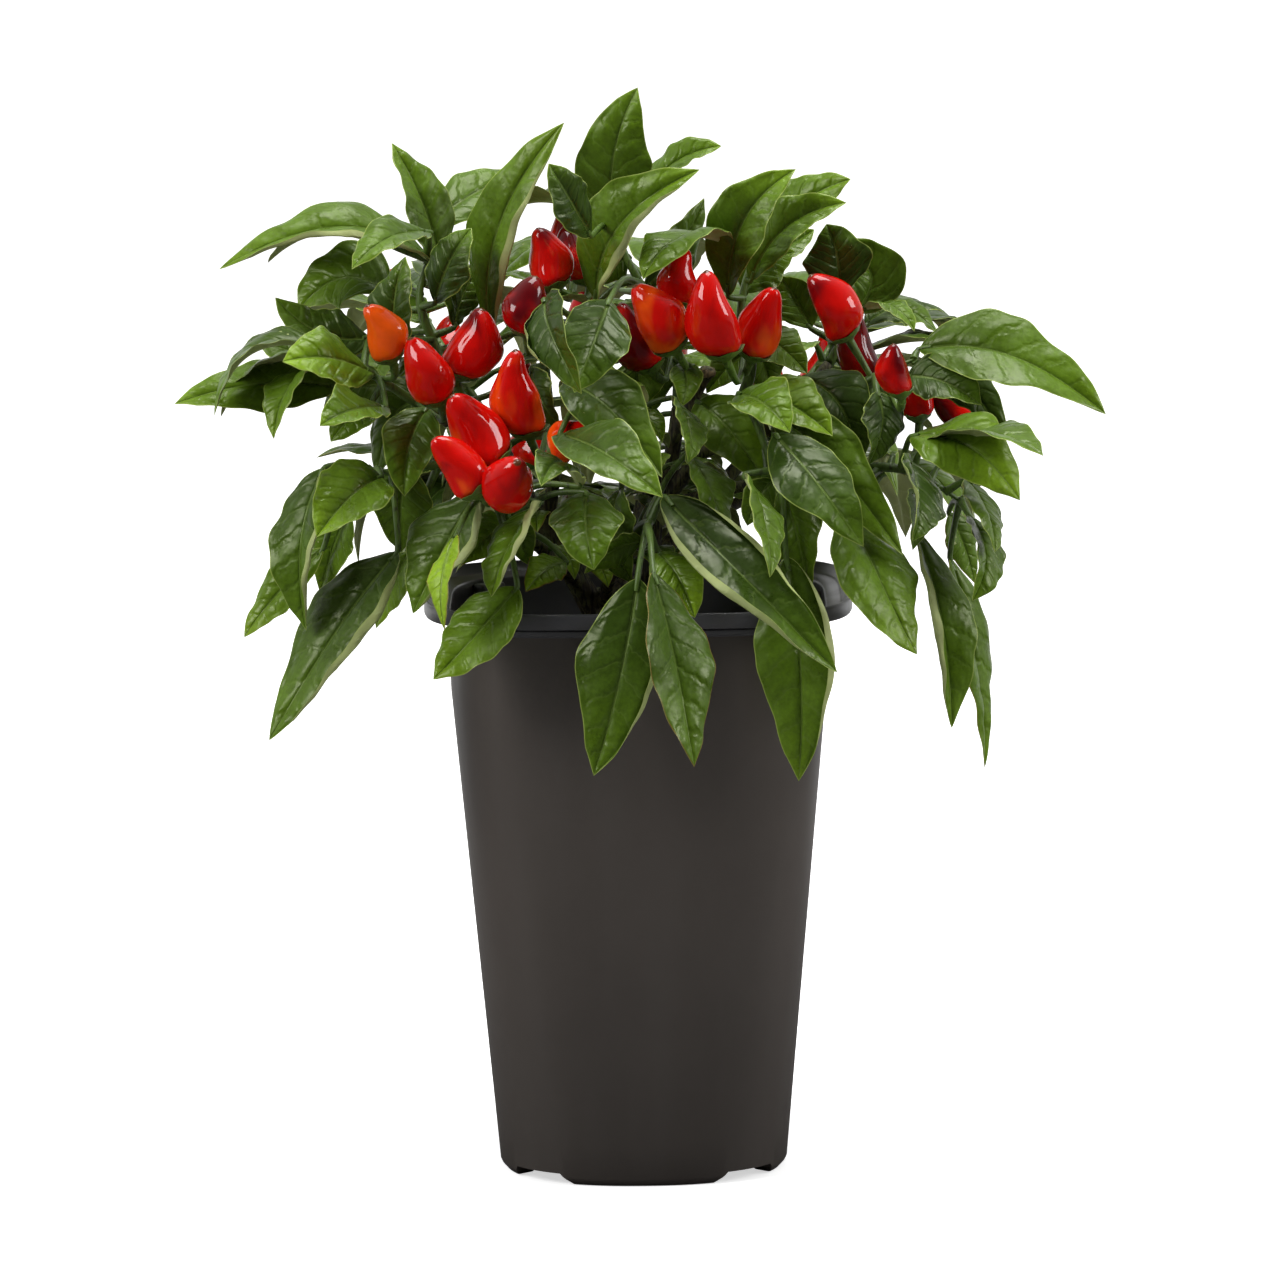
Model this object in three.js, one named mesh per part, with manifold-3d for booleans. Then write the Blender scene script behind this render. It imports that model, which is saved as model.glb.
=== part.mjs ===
// A chilli pepper plant with ripe fruits, in a dark square-shouldered nursery pot.
// Millimetres, +Z up. The origin lies under the middle of the pot, on the surface that it stands on.
// The plant's face, where most fruits show, looks towards -Y.

import * as THREE from 'three';
import { mergeVertices } from 'three/addons/utils/BufferGeometryUtils.js';
import Module from 'manifold-3d';

const wasm = await Module();
wasm.setup();

// Driving dimensions of the pot
const POT_HEIGHT = 233;
const RIM_HALF = 85;            // half the width over the rim, flat to flat
const FOOT_HALF = 55;           // half the width over the feet
const RIM_BAND = 6.3;           // height of the rim's outer band
const WALL = 1.9;
const WALL_TURN = { half: 74.7, height: 195 };  // where the wall's slope eases
const BASE_PLATE = 2.2;
const FOOT_HEIGHT = 4.5;        // height of the notches between the feet
const RECESS = 3.5;             // how far the base plate lies above the feet
const RECESS_HALF = 47;
const CORNER_POWER_TOP = 4.2;   // how square the pot is: 2 is round, more is squarer
const CORNER_POWER_FOOT = 2.35;
const RING_POINTS = 24;
const DRAIN_SLOTS = 8;
const DRAIN_SLOT = { length: 14, width: 3.5, middle: 30 };
const NOTCH = { halfTop: 12, halfFoot: 17, middle: 57, halfDepth: 16 };

// Soil and fit
const SOIL_TOP = 206;
const SOIL_BUMP = 2.2;
const SOIL_DOME = 2.4;          // how much higher the soil lies at the middle than at the wall
const SOIL_EDGE = 3;            // width and height of the slope along the wall
const SOIL_SEED = 41;
const GAP = 0.3;
const STEM_HOLE = { x: -13, y: 3, radius: 7.4, bottom: 172, depth: 60, sides: 16 };
const TRUNK_SIDES = 8;
const LIMB_SIDES = 5;

// Leaves
const BLADE_THICK = 0.9;
const LONG_BLADE = 70;          // a longer blade has one more row of points
const LONG_STATIONS = [0.13, 0.36, 0.61, 0.84];
const SHORT_STATIONS = [0.19, 0.46, 0.77];
const WIDEST_AT = 0.42;         // share of the length at which a blade is widest
const ROOT_POWER = 0.78;        // how the outline narrows towards the root and the tip
const TIP_POWER = 0.9;
const HABIT = { foldDegrees: [10, 26], curl: [0.1, 0.34], wave: [0.03, 0.07], twistDegrees: [-24, 24] };
const FOLD_ALLOWANCE = 1.1;      // a folded blade is this much wider than it looks
const WAVE_TURNS = 7;           // radians of wave along a blade's edge
const WAVE_OFFSET = 1.3;        // how far one edge's wave runs ahead of the other's
const STRAIGHT_RIB = 0.02;      // under this bend a midrib counts as straight
const LEAF_SEED = 7;
const STALK_RADIUS = 1.0;
const STALK_BOW = { at: 0.55, rise: 0.1 };
const STALK_SECTION = [[-1, 0.4], [0, -1], [1, 0.4]];
const SHORT_STALK = 15;         // a shorter stalk is straight
const GOLDEN_ANGLE = THREE.MathUtils.degToRad(137.508);
const SHY_RADIUS = 2.8;         // a blade's half share of the room that two blades keep between them
const STALK_SHY_RADIUS = 1.9;
const STALK_SAMPLES = 5;
const SHY_ROWS = 9;
const SHY_START = 0.03;
const SHY_POT = 0.5;            // room kept to the pot
const SHY_POT_POWER = 5;        // how square the room kept to it is
const SAMPLE_STEP = 5;          // how closely the room that stems take up is sampled
const OTHERS_COUNT = 1000;      // what one touch of another stem's piece counts
const SHY_COLUMNS = [-0.9, -0.45, 0, 0.45, 0.9];

// Places on the plant are named as they are seen from the front by an eye that looks slightly down:
// mm right of the pot's middle, mm up the view, and mm behind the pot's middle (in front if negative).
const LOOK_DOWN = THREE.MathUtils.degToRad(8.5);

function seen(across, up, depth) {
  return new THREE.Vector3(across, depth, (up - Math.sin(LOOK_DOWN) * depth) / Math.cos(LOOK_DOWN));
}

// Woody limbs: a row of places with the limb's radius at each
const LIMBS = {
  trunk: [[-13, 175, 3, 6.6], [-13, 206, 3, 6.3], [-14, 221, 1, 5.8], [-15, 229, 0, 4.6]],
  left: [
    [-14, 214, 1, 5.2], [-23, 231, -3, 4.7], [-37, 254, -8, 4.1], [-50, 272, -12, 3.6],
    [-62, 288, -14, 3.2],
  ],
  left_top: [[-61, 287, -14, 2.8], [-71, 303, -14, 2.5]],
  left_out: [[-60, 285, -14, 2.7], [-78, 298, -26, 2.4]],
  left_low: [[-49, 271, -12, 2.7], [-70, 276, -36, 2.3]],
  left_back: [[-37, 254, -8, 3.0], [-46, 272, 14, 2.8], [-55, 289, 36, 2.5]],
  centre_left: [[-36, 252, -8, 2.9], [-33, 274, -14, 2.6], [-34, 293, -17, 2.4]],
  front_left: [[-23, 231, -3, 2.8], [-34, 241, -28, 2.6], [-45, 251, -46, 2.3]],
  middle: [[-12, 212, 4, 4.3], [3, 232, 2, 3.6], [8, 262, -2, 3.3], [14, 282, -4, 3.1], [17, 301, -6, 2.8]],
  front_high: [[8, 262, -2, 2.6], [2, 275, -22, 2.4], [-4, 285, -36, 2.2]],
  front_low: [[-14, 222, 0, 2.8], [-10, 236, -22, 2.6], [-2, 249, -40, 2.3]],
  right: [[8, 260, -2, 3.2], [27, 284, -6, 3.0], [42, 303, -8, 2.7]],
  right_out: [[26, 283, -6, 2.8], [48, 291, -12, 2.6], [66, 297, -16, 2.4]],
  right_top: [[48, 291, -12, 2.4], [66, 305, 2, 2.3], [77, 318, 8, 2.1]],
  right_far: [[48, 291, -12, 2.4], [70, 280, -18, 2.3], [90, 276, -22, 2.1]],
  right_low: [[8, 261, -2, 2.6], [30, 266, -24, 2.5], [48, 270, -42, 2.3]],
  back: [[-12, 214, 6, 4.2], [-6, 236, 26, 3.6], [2, 262, 44, 3.2], [4, 286, 58, 2.8]],
  back_low: [[-6, 234, 26, 2.7], [4, 250, 52, 2.5], [10, 257, 70, 2.3]],
  back_low_left: [[-7, 234, 24, 2.8], [-18, 250, 48, 2.6], [-28, 262, 66, 2.3]],
  right_back: [[-4, 226, 8, 3.4], [20, 256, 24, 3.1], [47, 285, 38, 2.7]],
  back_low_right: [[20, 255, 24, 2.7], [36, 262, 50, 2.5], [48, 268, 70, 2.3]],
};

// Pruned ends, each a short stub with a knobbly scar
const STUBS = [
  [[14, 286, -5, 2.6], [26, 310, -14, 2.4], [28, 314, -15, 3.6], [28.5, 316, -15, 2.6]],
  [[32, 290, -7, 2.8], [43, 300, -20, 2.5], [45, 302, -23, 3.6], [46, 303, -25, 2.6]],
  [[-27, 237, -5, 2.6], [-19, 246, -10, 2.2], [-18, 248, -11, 2.8], [-17.5, 249, -12, 2.0]],
];

// Leafy stems: which limb each grows on from, and the row of places that it follows
const SHOOTS = {
  left_top: [[-78, 322, -13, 2.1], [-85, 343, -12, 1.7], [-82, 360, -9, 1.3]],
  left_out: [[-90, 305, -32, 1.9], [-101, 312, -38, 1.5], [-112, 317, -40, 1.1]],
  left_low: [[-84, 278, -44, 1.8], [-96, 275, -50, 1.5], [-112, 278, -54, 1.1]],
  left_back: [[-66, 308, 54, 2.1], [-78, 328, 70, 1.7], [-86, 344, 80, 1.2]],
  centre_left: [[-36, 316, -18, 2.0], [-37, 338, -16, 1.6], [-33, 356, -17, 1.2]],
  front_left: [[-50, 257, -56, 1.9], [-56, 262, -68, 1.5], [-60, 266, -76, 1.1]],
  middle: [[16, 320, -8, 2.1], [6, 342, -12, 1.8], [-4, 362, -10, 1.4], [-6, 374, -8, 1.1]],
  front_high: [[-12, 294, -44, 1.9], [-18, 304, -48, 1.5], [-14, 318, -46, 1.1]],
  front_low: [[2, 253, -54, 1.9], [5, 254, -66, 1.5], [4, 252, -78, 1.1]],
  right: [[46, 318, -10, 2.1], [42, 334, -10, 1.8], [44, 350, -8, 1.4], [50, 366, -2, 1.1]],
  right_out: [[80, 304, -22, 2.0], [96, 312, -26, 1.6], [110, 318, -24, 1.1]],
  right_top: [[83, 328, 8, 1.8], [88, 338, 2, 1.4], [86, 348, -2, 1.0]],
  right_far: [[104, 275, -28, 1.8], [116, 270, -30, 1.5], [128, 262, -26, 1.1]],
  right_low: [[54, 274, -54, 1.9], [56, 276, -62, 1.5], [56, 274, -70, 1.1]],
  back: [[2, 310, 70, 2.2], [-2, 336, 78, 1.8], [2, 358, 81, 1.2]],
  back_low: [[14, 259, 74, 1.9], [12, 260, 78, 1.5], [4, 258, 80, 1.1]],
  back_low_left: [[-40, 265, 76, 1.9], [-56, 268, 83, 1.5], [-70, 266, 88, 1.1]],
  right_back: [[62, 304, 54, 2.1], [76, 322, 68, 1.7], [84, 338, 78, 1.2]],
  back_low_right: [[60, 270, 82, 1.9], [76, 270, 88, 1.5], [92, 266, 90, 1.1]],
};

// Leaves that show from the front. Each row: root, middle and tip as places, the blade's width, and
// where its upper face looks: F front, B back, U up, D down, L left, R right, more of one if repeated.
const LEAVES = {
  front_low: [
    [0, 232, -94, -7, 194, -101, -18, 155, -103, 31, 'F'],
    [6, 234, -100, 15, 196, -110, 21, 158, -112, 31, 'FR'],
    [10, 264, -66, 41, 232, -102, 77, 194, -114, 32, 'FU'],
    [2, 246, -86, -9, 243, -99, -21, 234, -108, 18, 'DF'],
    [8, 242, -90, 16, 232, -108, 22, 216, -116, 20, 'FU'],
    [20, 281, -46, 29, 267, -62, 34, 249, -70, 22, 'FR'],
  ],
  front_left: [
    [-62, 268, -78, -75, 246, -92, -88, 219, -98, 34, 'FL'],
    [-47, 229, -86, -63, 211, -95, -80, 193, -101, 28, 'FL'],
    [-20, 266, -66, -20, 252, -88, -17, 235, -98, 26, 'FU'],
    [-38, 262, -74, -50, 246, -98, -57, 225, -108, 24, 'FL'],
    [-50, 254, -80, -58, 250, -96, -69, 238, -106, 18, 'UF'],
    [-28, 239, -62, -36, 236, -68, -44, 227, -76, 14, 'UF'],
    [-22, 268, -62, -30, 277, -74, -37, 267, -84, 18, 'UF'],
  ],
  right_low: [
    [58, 240, -80, 63, 197, -90, 62, 152, -90, 31, 'F'],
    [54, 272, -72, 62, 249, -92, 66, 225, -98, 26, 'FL'],
    [54, 288, -60, 70, 269, -82, 88, 243, -92, 26, 'UF'],
    [55, 297, -44, 78, 275, -66, 104, 240, -76, 26, 'UF'],
    [24, 302, -40, 38, 289, -60, 54, 264, -70, 24, 'UF'],
    [40, 304, -44, 50, 300, -62, 60, 288, -70, 22, 'UF'],
    [42, 272, -56, 50, 253, -72, 51, 231, -80, 18, 'RF'],
    [46, 305, -30, 61, 300, -46, 77, 287, -54, 24, 'UF'],
  ],
  left_low: [
    [-94, 244, -60, -119, 212, -74, -145, 170, -80, 34, 'FL'],
    [-122, 277, -58, -132, 248, -68, -130, 213, -68, 26, 'FL'],
    [-100, 273, -56, -112, 265, -70, -125, 249, -78, 28, 'FU'],
    [-90, 278, -60, -93, 262, -72, -93, 244, -76, 22, 'F'],
    [-82, 300, -52, -89, 285, -70, -91, 265, -78, 22, 'F'],
    [-124, 246, -36, -143, 228, -40, -156, 211, -42, 16, 'LF'],
    [-90, 244, -44, -98, 230, -50, -104, 214, -52, 16, 'FL'],
  ],
  left_out: [
    [-116, 309, -32, -148, 311, -36, -182, 303, -36, 24, 'FU'],
    [-105, 329, -26, -124, 331, -34, -142, 345, -34, 22, 'UF'],
    [-103, 314, -42, -120, 320, -54, -138, 318, -60, 26, 'UF'],
    [-100, 310, -48, -112, 309, -60, -124, 299, -66, 22, 'FU'],
    [-98, 300, -42, -110, 299, -56, -123, 292, -62, 20, 'FU'],
    [-82, 303, -44, -96, 298, -58, -103, 273, -66, 24, 'LF'],
    [-126, 318, -24, -137, 308, -30, -142, 288, -32, 18, 'LF'],
  ],
  left_top: [
    [-80, 359, -12, -116, 373, -20, -164, 356, -26, 28, 'UUF'],
    [-77, 358, -14, -84, 384, -24, -96, 407, -26, 22, 'FR'],
    [-105, 325, -8, -126, 323, -10, -151, 330, -4, 24, 'FU'],
    [-94, 322, -28, -95, 342, -36, -90, 360, -34, 22, 'FL'],
    [-79, 342, -24, -73, 358, -32, -64, 371, -30, 20, 'FL'],
    [-80, 369, -16, -96, 366, -28, -110, 353, -34, 20, 'UUF'],
    [-84, 372, 0, -62, 390, 10, -40, 397, 14, 20, 'FU'],
    [-98, 348, 4, -117, 354, 16, -134, 341, 18, 30, 'UF'],
    [-72, 333, -26, -68, 346, -32, -62, 357, -32, 16, 'RF'],
  ],
  centre_left: [
    [-57, 328, -8, -54, 371, -24, -27, 412, -28, 28, 'FL'],
    [-41, 316, -30, -38, 304, -40, -30, 292, -44, 16, 'FL'],
  ],
  middle: [
    [-8, 368, -10, -8, 398, -20, 2, 426, -18, 26, 'F'],
    [-15, 342, -24, -6, 371, -42, 26, 392, -46, 30, 'FU'],
    [-10, 341, -60, -16, 324, -78, -24, 304, -88, 24, 'F'],
    [4, 348, -16, 18, 364, -22, 28, 384, -20, 18, 'RF'],
    [-17, 366, -34, -25, 380, -40, -33, 393, -36, 18, 'FR'],
    [2, 385, 0, 18, 399, 4, 35, 404, 4, 18, 'UUF'],
    [0, 320, -34, 1, 311, -46, 0, 300, -50, 20, 'F'],
  ],
  front_high: [
    [-35, 341, -60, -33, 327, -76, -21, 303, -84, 26, 'FL'],
    [-28, 309, -50, -10, 298, -72, 10, 271, -80, 26, 'UF'],
    [-30, 288, -60, -12, 280, -84, 10, 262, -94, 26, 'UF'],
    [14, 303, -42, 21, 291, -54, 20, 277, -58, 16, 'FR'],
    [-6, 268, -58, -10, 250, -74, -2, 230, -80, 24, 'FL'],
  ],
  right: [
    [37, 344, -14, 43, 373, -26, 64, 393, -24, 24, 'FU'],
    [44, 346, -20, 51, 357, -34, 64, 362, -40, 24, 'FU'],
    [46, 350, -4, 60, 371, -8, 84, 380, -8, 22, 'UF'],
    [48, 368, 4, 66, 382, 8, 86, 390, 6, 22, 'FU'],
  ],
  right_top: [
    [81, 345, -8, 80, 359, -16, 76, 372, -14, 24, 'F'],
    [88, 338, -14, 94, 354, -24, 80, 366, -28, 24, 'FU'],
    [92, 333, -8, 106, 340, -16, 121, 330, -20, 22, 'UUF'],
    [70, 332, 12, 64, 344, 16, 58, 353, 16, 18, 'F'],
  ],
  right_out: [
    [112, 322, -20, 148, 319, -34, 185, 295, -40, 32, 'FU'],
    [64, 311, -36, 80, 301, -56, 88, 275, -64, 26, 'FU'],
    [95, 305, -50, 97, 291, -66, 91, 276, -72, 22, 'FR'],
    [107, 311, -30, 121, 309, -40, 136, 299, -46, 22, 'UF'],
    [114, 312, -18, 133, 305, -24, 145, 283, -28, 18, 'UF'],
  ],
  right_far: [
    [84, 258, -56, 95, 231, -84, 109, 201, -92, 37, 'FR'],
    [110, 250, -38, 120, 213, -54, 123, 172, -56, 26, 'FR'],
    [108, 287, -38, 130, 283, -54, 150, 261, -60, 30, 'UF'],
    [106, 278, -46, 110, 262, -62, 107, 245, -66, 26, 'FR'],
    [124, 240, -14, 134, 199, -22, 137, 156, -24, 24, 'RRF'],
    [131, 256, -26, 137, 240, -38, 131, 222, -42, 22, 'FR'],
    [130, 270, -16, 138, 257, -20, 140, 241, -22, 20, 'FR'],
    [137, 305, -8, 147, 292, -14, 149, 275, -16, 18, 'RF'],
    [140, 298, -24, 148, 289, -32, 149, 276, -34, 16, 'FL'],
  ],
};

// Leafy stems at the back and inside, whose leaves grow by rule: how many each tries to grow
const GROWN_LEAVES = {
  left_back: 10,
  back: 11,
  right_back: 10,
  back_low: 8,
  back_low_left: 8,
  back_low_right: 8,
  left_top: 3,
  right_top: 3,
  right: 2,
  middle: 2,
  left_out: 3,
  right_far: 2,
};
// Places on these stems where no leaf grows, because the photograph shows bare background there
const BARE_PLACES = { right_top: [0, 1, 2], right_far: [1] };
const GROWN_LENGTH = [58, 78];
const GROWN_WIDTH_SHARE = 0.42;
const GROWN_STALK = [12, 20];

// Fruits: the leafy stem that each hangs on, its base and its blunt tip as places, and its width
const FRUITS = [
  ['left_top', -100, 335, 12, -95, 358, 14, 15],
  ['left_out', -96, 320, -52, -105, 340, -58, 17],
  ['left_out', -77, 303, -56, -88, 327, -62, 18],
  ['centre_left', -70, 314, -38, -60, 339, -42, 22],
  ['centre_left', -24, 358, 18, -26, 384, 20, 15],
  ['centre_left', -32, 348, -28, -38, 371, -28, 18],
  ['centre_left', -19, 352, 0, -28, 373, 2, 15],
  ['centre_left', -42, 330, -44, -39, 351, -50, 20],
  ['centre_left', -42, 290, -56, -47, 322, -62, 20],
  ['front_left', -55, 279, -70, -72, 304, -76, 21],
  ['front_left', -62, 266, -92, -79, 287, -92, 17],
  ['front_left', -49, 266, -82, -46, 277, -106, 21],
  ['front_high', -32, 281, -64, -17, 291, -70, 15],
  ['middle', 15, 323, -46, 0, 347, -52, 20],
  ['middle', 6, 316, -28, -6, 341, -32, 17],
  ['middle', 17, 341, -32, 20, 362, -36, 16],
  ['right', 35, 320, -54, 28, 352, -60, 20],
  ['right', 46, 320, -34, 55, 346, -40, 18],
  ['right_out', 83, 328, -28, 69, 351, -34, 19],
  ['right_top', 92, 310, -6, 87, 338, -8, 16],
  ['right_out', 104, 304, -50, 101, 323, -54, 13],
  ['right_far', 112, 296, -12, 110, 311, -14, 14],
  ['right_far', 136, 291, -6, 118, 304, -10, 13],
  ['left_back', -70, 318, 84, -76, 342, 92, 19],
  ['left_back', -50, 300, 66, -46, 326, 78, 18],
  ['back', 10, 318, 92, 16, 344, 100, 20],
  ['back', -14, 330, 98, -22, 352, 108, 18],
  ['back_low_left', -44, 278, 104, -40, 302, 116, 20],
  ['right_back', 72, 308, 78, 78, 334, 88, 19],
  ['right_back', 52, 304, 64, 46, 330, 74, 17],
  ['back_low_right', 70, 280, 106, 64, 304, 116, 20],
];
const FRUIT_SIDES = 6;
const FRUIT_PROFILE = [[0, 0.6], [0.12, 0.94], [0.4, 1], [0.86, 0.55]];
const CALYX_HEIGHT = 3;
const PEDICEL_RADIUS = 1.1;
const FRUIT_ROOM = [[0.1, 0.86], [0.3, 1], [0.5, 0.94], [0.7, 0.78], [0.9, 0.45]];
const FRUIT_ROOM_MARGIN = 0.4;
const PEDICEL_FLARE = 1.5;      // its radius where the cup starts
const CALYX_SHARE = 0.6;        // the cup's width as a share of the fruit's
const PEDICEL_SIDES = 4;
const CUT_END_MARGIN = 4;       // leaf stalks keep this far from where a leafy stem meets its limb
const SHOOT_START_SHARE = 0.97; // a leafy stem is a little thinner than the limb that it goes on from

// Colours of the solids
const FINISH = {
  pot: { color: 0x3b3835, roughness: 0.45, metalness: 0 },
  soil: { color: 0x2b1c12, roughness: 1, metalness: 0 },
  stems: { color: 0x3c3a22, roughness: 0.8, metalness: 0 },
  shoot: { color: 0x3f6f1f, roughness: 0.4, metalness: 0 },
  fruit: { color: 0xc01008, roughness: 0.12, metalness: 0 },
};

// Seeded draws between 0 and 1, so that every build grows the same plant
function drawsFrom(seed) {
  let state = seed;
  return () => {
    state = (state * 16807) % 2147483647;
    return state / 2147483647;
  };
}

const between = (low, high, share) => low + (high - low) * share;

// Solids from rings of points. A ring with one point closes the end to a tip.
function loft(rings) {
  const places = [];
  const faces = [];
  const starts = rings.map((ring) => {
    const start = places.length / 3;
    ring.forEach((p) => places.push(p.x, p.y, p.z));
    return start;
  });
  const count = Math.max(...rings.map((ring) => ring.length));
  for (let k = 0; k + 1 < rings.length; k += 1) {
    for (let i = 0; i < count; i += 1) {
      const next = (i + 1) % count;
      const [low, high] = [k, k + 1].map((at) => (
        rings[at].length > 1 ? [starts[at] + i, starts[at] + next] : [starts[at], starts[at]]));
      if (low[0] !== low[1]) faces.push(low[0], low[1], high[1]);
      if (high[0] !== high[1]) faces.push(low[0], high[1], high[0]);
    }
  }
  const cap = (ring, start, turned) => {
    if (ring.length < 3) return;
    const middle = ring.reduce((sum, p) => sum.add(p), new THREE.Vector3()).divideScalar(ring.length);
    const hub = places.length / 3;
    places.push(middle.x, middle.y, middle.z);
    for (let i = 0; i < ring.length; i += 1) {
      const a = start + i;
      const b = start + ((i + 1) % ring.length);
      if (turned) faces.push(hub, b, a);
      else faces.push(hub, a, b);
    }
  };
  cap(rings[0], starts[0], true);
  cap(rings[rings.length - 1], starts[rings.length - 1], false);
  const geometry = new THREE.BufferGeometry();
  geometry.setAttribute('position', new THREE.Float32BufferAttribute(places, 3));
  geometry.setIndex(faces);
  return geometry;
}

function solidFrom(geometry) {
  const clean = geometry.clone();
  clean.deleteAttribute('normal');
  clean.deleteAttribute('uv');
  const merged = mergeVertices(clean, 1e-4);
  return new wasm.Manifold(new wasm.Mesh({
    numProp: 3,
    vertProperties: new Float32Array(merged.attributes.position.array),
    triVerts: new Uint32Array(merged.index.array),
  }));
}

function geometryFrom(solid) {
  const mesh = solid.getMesh();
  const geometry = new THREE.BufferGeometry();
  geometry.setAttribute('position', new THREE.Float32BufferAttribute(mesh.vertProperties, 3));
  geometry.setIndex(Array.from(mesh.triVerts));
  geometry.computeVertexNormals();
  return geometry;
}

// Joins solids into one body; a crumb that the joining leaves loose is dropped
function fuse(solids) {
  const bodies = wasm.Manifold.union(solids).decompose();
  return bodies.reduce((largest, body) => (body.volume() > largest.volume() ? body : largest));
}

// A direction that a section can be set out from: up, or right where the piece itself runs up
function guideFor(along) {
  return Math.abs(along.z) > 0.9 ? new THREE.Vector3(1, 0, 0) : new THREE.Vector3(0, 0, 1);
}

// A tube through places with a radius at each; the first ring can keep a direction given for it
function tube(places, radii, sides, firstDirection = null) {
  let side = null;
  const rings = places.map((place, k) => {
    const back = place.clone().sub(places[Math.max(k - 1, 0)]).normalize();
    const ahead = places[Math.min(k + 1, places.length - 1)].clone().sub(place).normalize();
    const along = k === 0 && firstDirection ? firstDirection.clone() : back.add(ahead).normalize();
    const guide = side ?? guideFor(along);
    side = guide.clone().addScaledVector(along, -guide.dot(along)).normalize();
    const other = along.clone().cross(side);
    return Array.from({ length: sides }, (_, i) => {
      const turn = (2 * Math.PI * i) / sides;
      return place.clone()
        .addScaledVector(side, radii[k] * Math.cos(turn))
        .addScaledVector(other, radii[k] * Math.sin(turn));
    });
  });
  return solidFrom(loft(rings));
}

const placesOf = (row) => row.map(([across, up, depth]) => seen(across, up, depth));
const radiiOf = (row) => row.map((entry) => entry[3]);

// Pot

function squareRing(half, height) {
  const power = between(CORNER_POWER_FOOT, CORNER_POWER_TOP, height / POT_HEIGHT);
  return Array.from({ length: RING_POINTS }, (_, i) => {
    const turn = (2 * Math.PI * i) / RING_POINTS;
    const c = Math.cos(turn);
    const s = Math.sin(turn);
    const reach = half / (Math.abs(c) ** power + Math.abs(s) ** power) ** (1 / power);
    return new THREE.Vector3(reach * c, reach * s, height);
  });
}

// The wall's section, outside and inside: half the pot's width and the height at each turn
const rimUnder = POT_HEIGHT - RIM_BAND;
const WALL_OUTSIDE = [
  [FOOT_HALF, 0], [FOOT_HALF + 2.4, 2.6], [WALL_TURN.half, WALL_TURN.height], [75.5, 222.6],
  [76.6, 223.2], [77.8, 225.2], [76.6, 226], [76.6, rimUnder],
  [RIM_HALF, rimUnder], [RIM_HALF, POT_HEIGHT - 0.8], [RIM_HALF - 0.8, POT_HEIGHT],
];
const floorInside = RECESS + BASE_PLATE;
const WALL_INSIDE = [
  [FOOT_HALF + 1.2 - WALL, floorInside], [WALL_TURN.half - WALL, WALL_TURN.height],
  [75.5 - WALL, 222], [76.1 - WALL, 227.5], [RIM_HALF - 4.5, 229], [RIM_HALF - WALL, POT_HEIGHT + 1],
];

function insideHalf(height) {
  const above = WALL_INSIDE.findIndex(([, z], k) => k > 0 && z >= height);
  const [lowHalf, lowHeight] = WALL_INSIDE[above - 1];
  const [highHalf, highHeight] = WALL_INSIDE[above];
  return between(lowHalf, highHalf, (height - lowHeight) / (highHeight - lowHeight));
}

function makePot() {
  const outside = solidFrom(loft(WALL_OUTSIDE.map(([half, height]) => squareRing(half, height))));
  const inside = solidFrom(loft(WALL_INSIDE.map(([half, height]) => squareRing(half, height))));
  const recess = solidFrom(loft([squareRing(RECESS_HALF + 1, -1), squareRing(RECESS_HALF, RECESS)]));
  const cuts = [inside, recess];
  for (let corner = 0; corner < 4; corner += 1) {
    const notch = notchBar();
    notch.translate(NOTCH.middle, 0, 0);
    notch.rotateZ(Math.PI / 4 + (corner * Math.PI) / 2);
    cuts.push(solidFrom(notch));
  }
  for (let k = 0; k < DRAIN_SLOTS; k += 1) {
    const slot = new THREE.BoxGeometry(DRAIN_SLOT.length, DRAIN_SLOT.width, 4 * BASE_PLATE);
    slot.translate(DRAIN_SLOT.middle, 0, RECESS + BASE_PLATE / 2);
    slot.rotateZ((2 * Math.PI * (k + 0.5)) / DRAIN_SLOTS);
    cuts.push(solidFrom(slot));
  }
  return outside.subtract(wasm.Manifold.union(cuts));
}

// A bar along X with slanted sides, for the notches between the feet
function notchBar() {
  const end = (x) => [
    new THREE.Vector3(x, -NOTCH.halfFoot, -1),
    new THREE.Vector3(x, NOTCH.halfFoot, -1),
    new THREE.Vector3(x, NOTCH.halfTop, FOOT_HEIGHT),
    new THREE.Vector3(x, -NOTCH.halfTop, FOOT_HEIGHT),
  ];
  return loft([end(-NOTCH.halfDepth), end(NOTCH.halfDepth)]);
}

// Soil

function makeSoil() {
  const draw = drawsFrom(SOIL_SEED);
  const foot = floorInside + GAP;
  const edgeHalf = insideHalf(SOIL_TOP) - GAP;
  const bumpy = (half, lift) => squareRing(half, SOIL_TOP).map((p) => {
    p.z += lift + SOIL_BUMP * (draw() - 0.5);
    return p;
  });
  const rings = [
    squareRing(insideHalf(foot) - GAP, foot),
    squareRing(insideHalf(WALL_TURN.height) - GAP, WALL_TURN.height),
    squareRing(insideHalf(SOIL_TOP - SOIL_EDGE) - GAP, SOIL_TOP - SOIL_EDGE),
    bumpy(edgeHalf - SOIL_EDGE, 0.15 * SOIL_DOME),
    bumpy(edgeHalf * 0.66, 0.5 * SOIL_DOME),
    bumpy(edgeHalf * 0.34, 0.8 * SOIL_DOME),
    [new THREE.Vector3(0, 0, SOIL_TOP + SOIL_DOME)],
  ];
  const { x, y, radius, bottom, depth } = STEM_HOLE;
  const hole = new THREE.CylinderGeometry(radius, radius, depth, STEM_HOLE.sides);
  hole.rotateX(Math.PI / 2);
  hole.translate(x, y, bottom + depth / 2);
  return solidFrom(loft(rings)).subtract(solidFrom(hole));
}

// Stems

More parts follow.
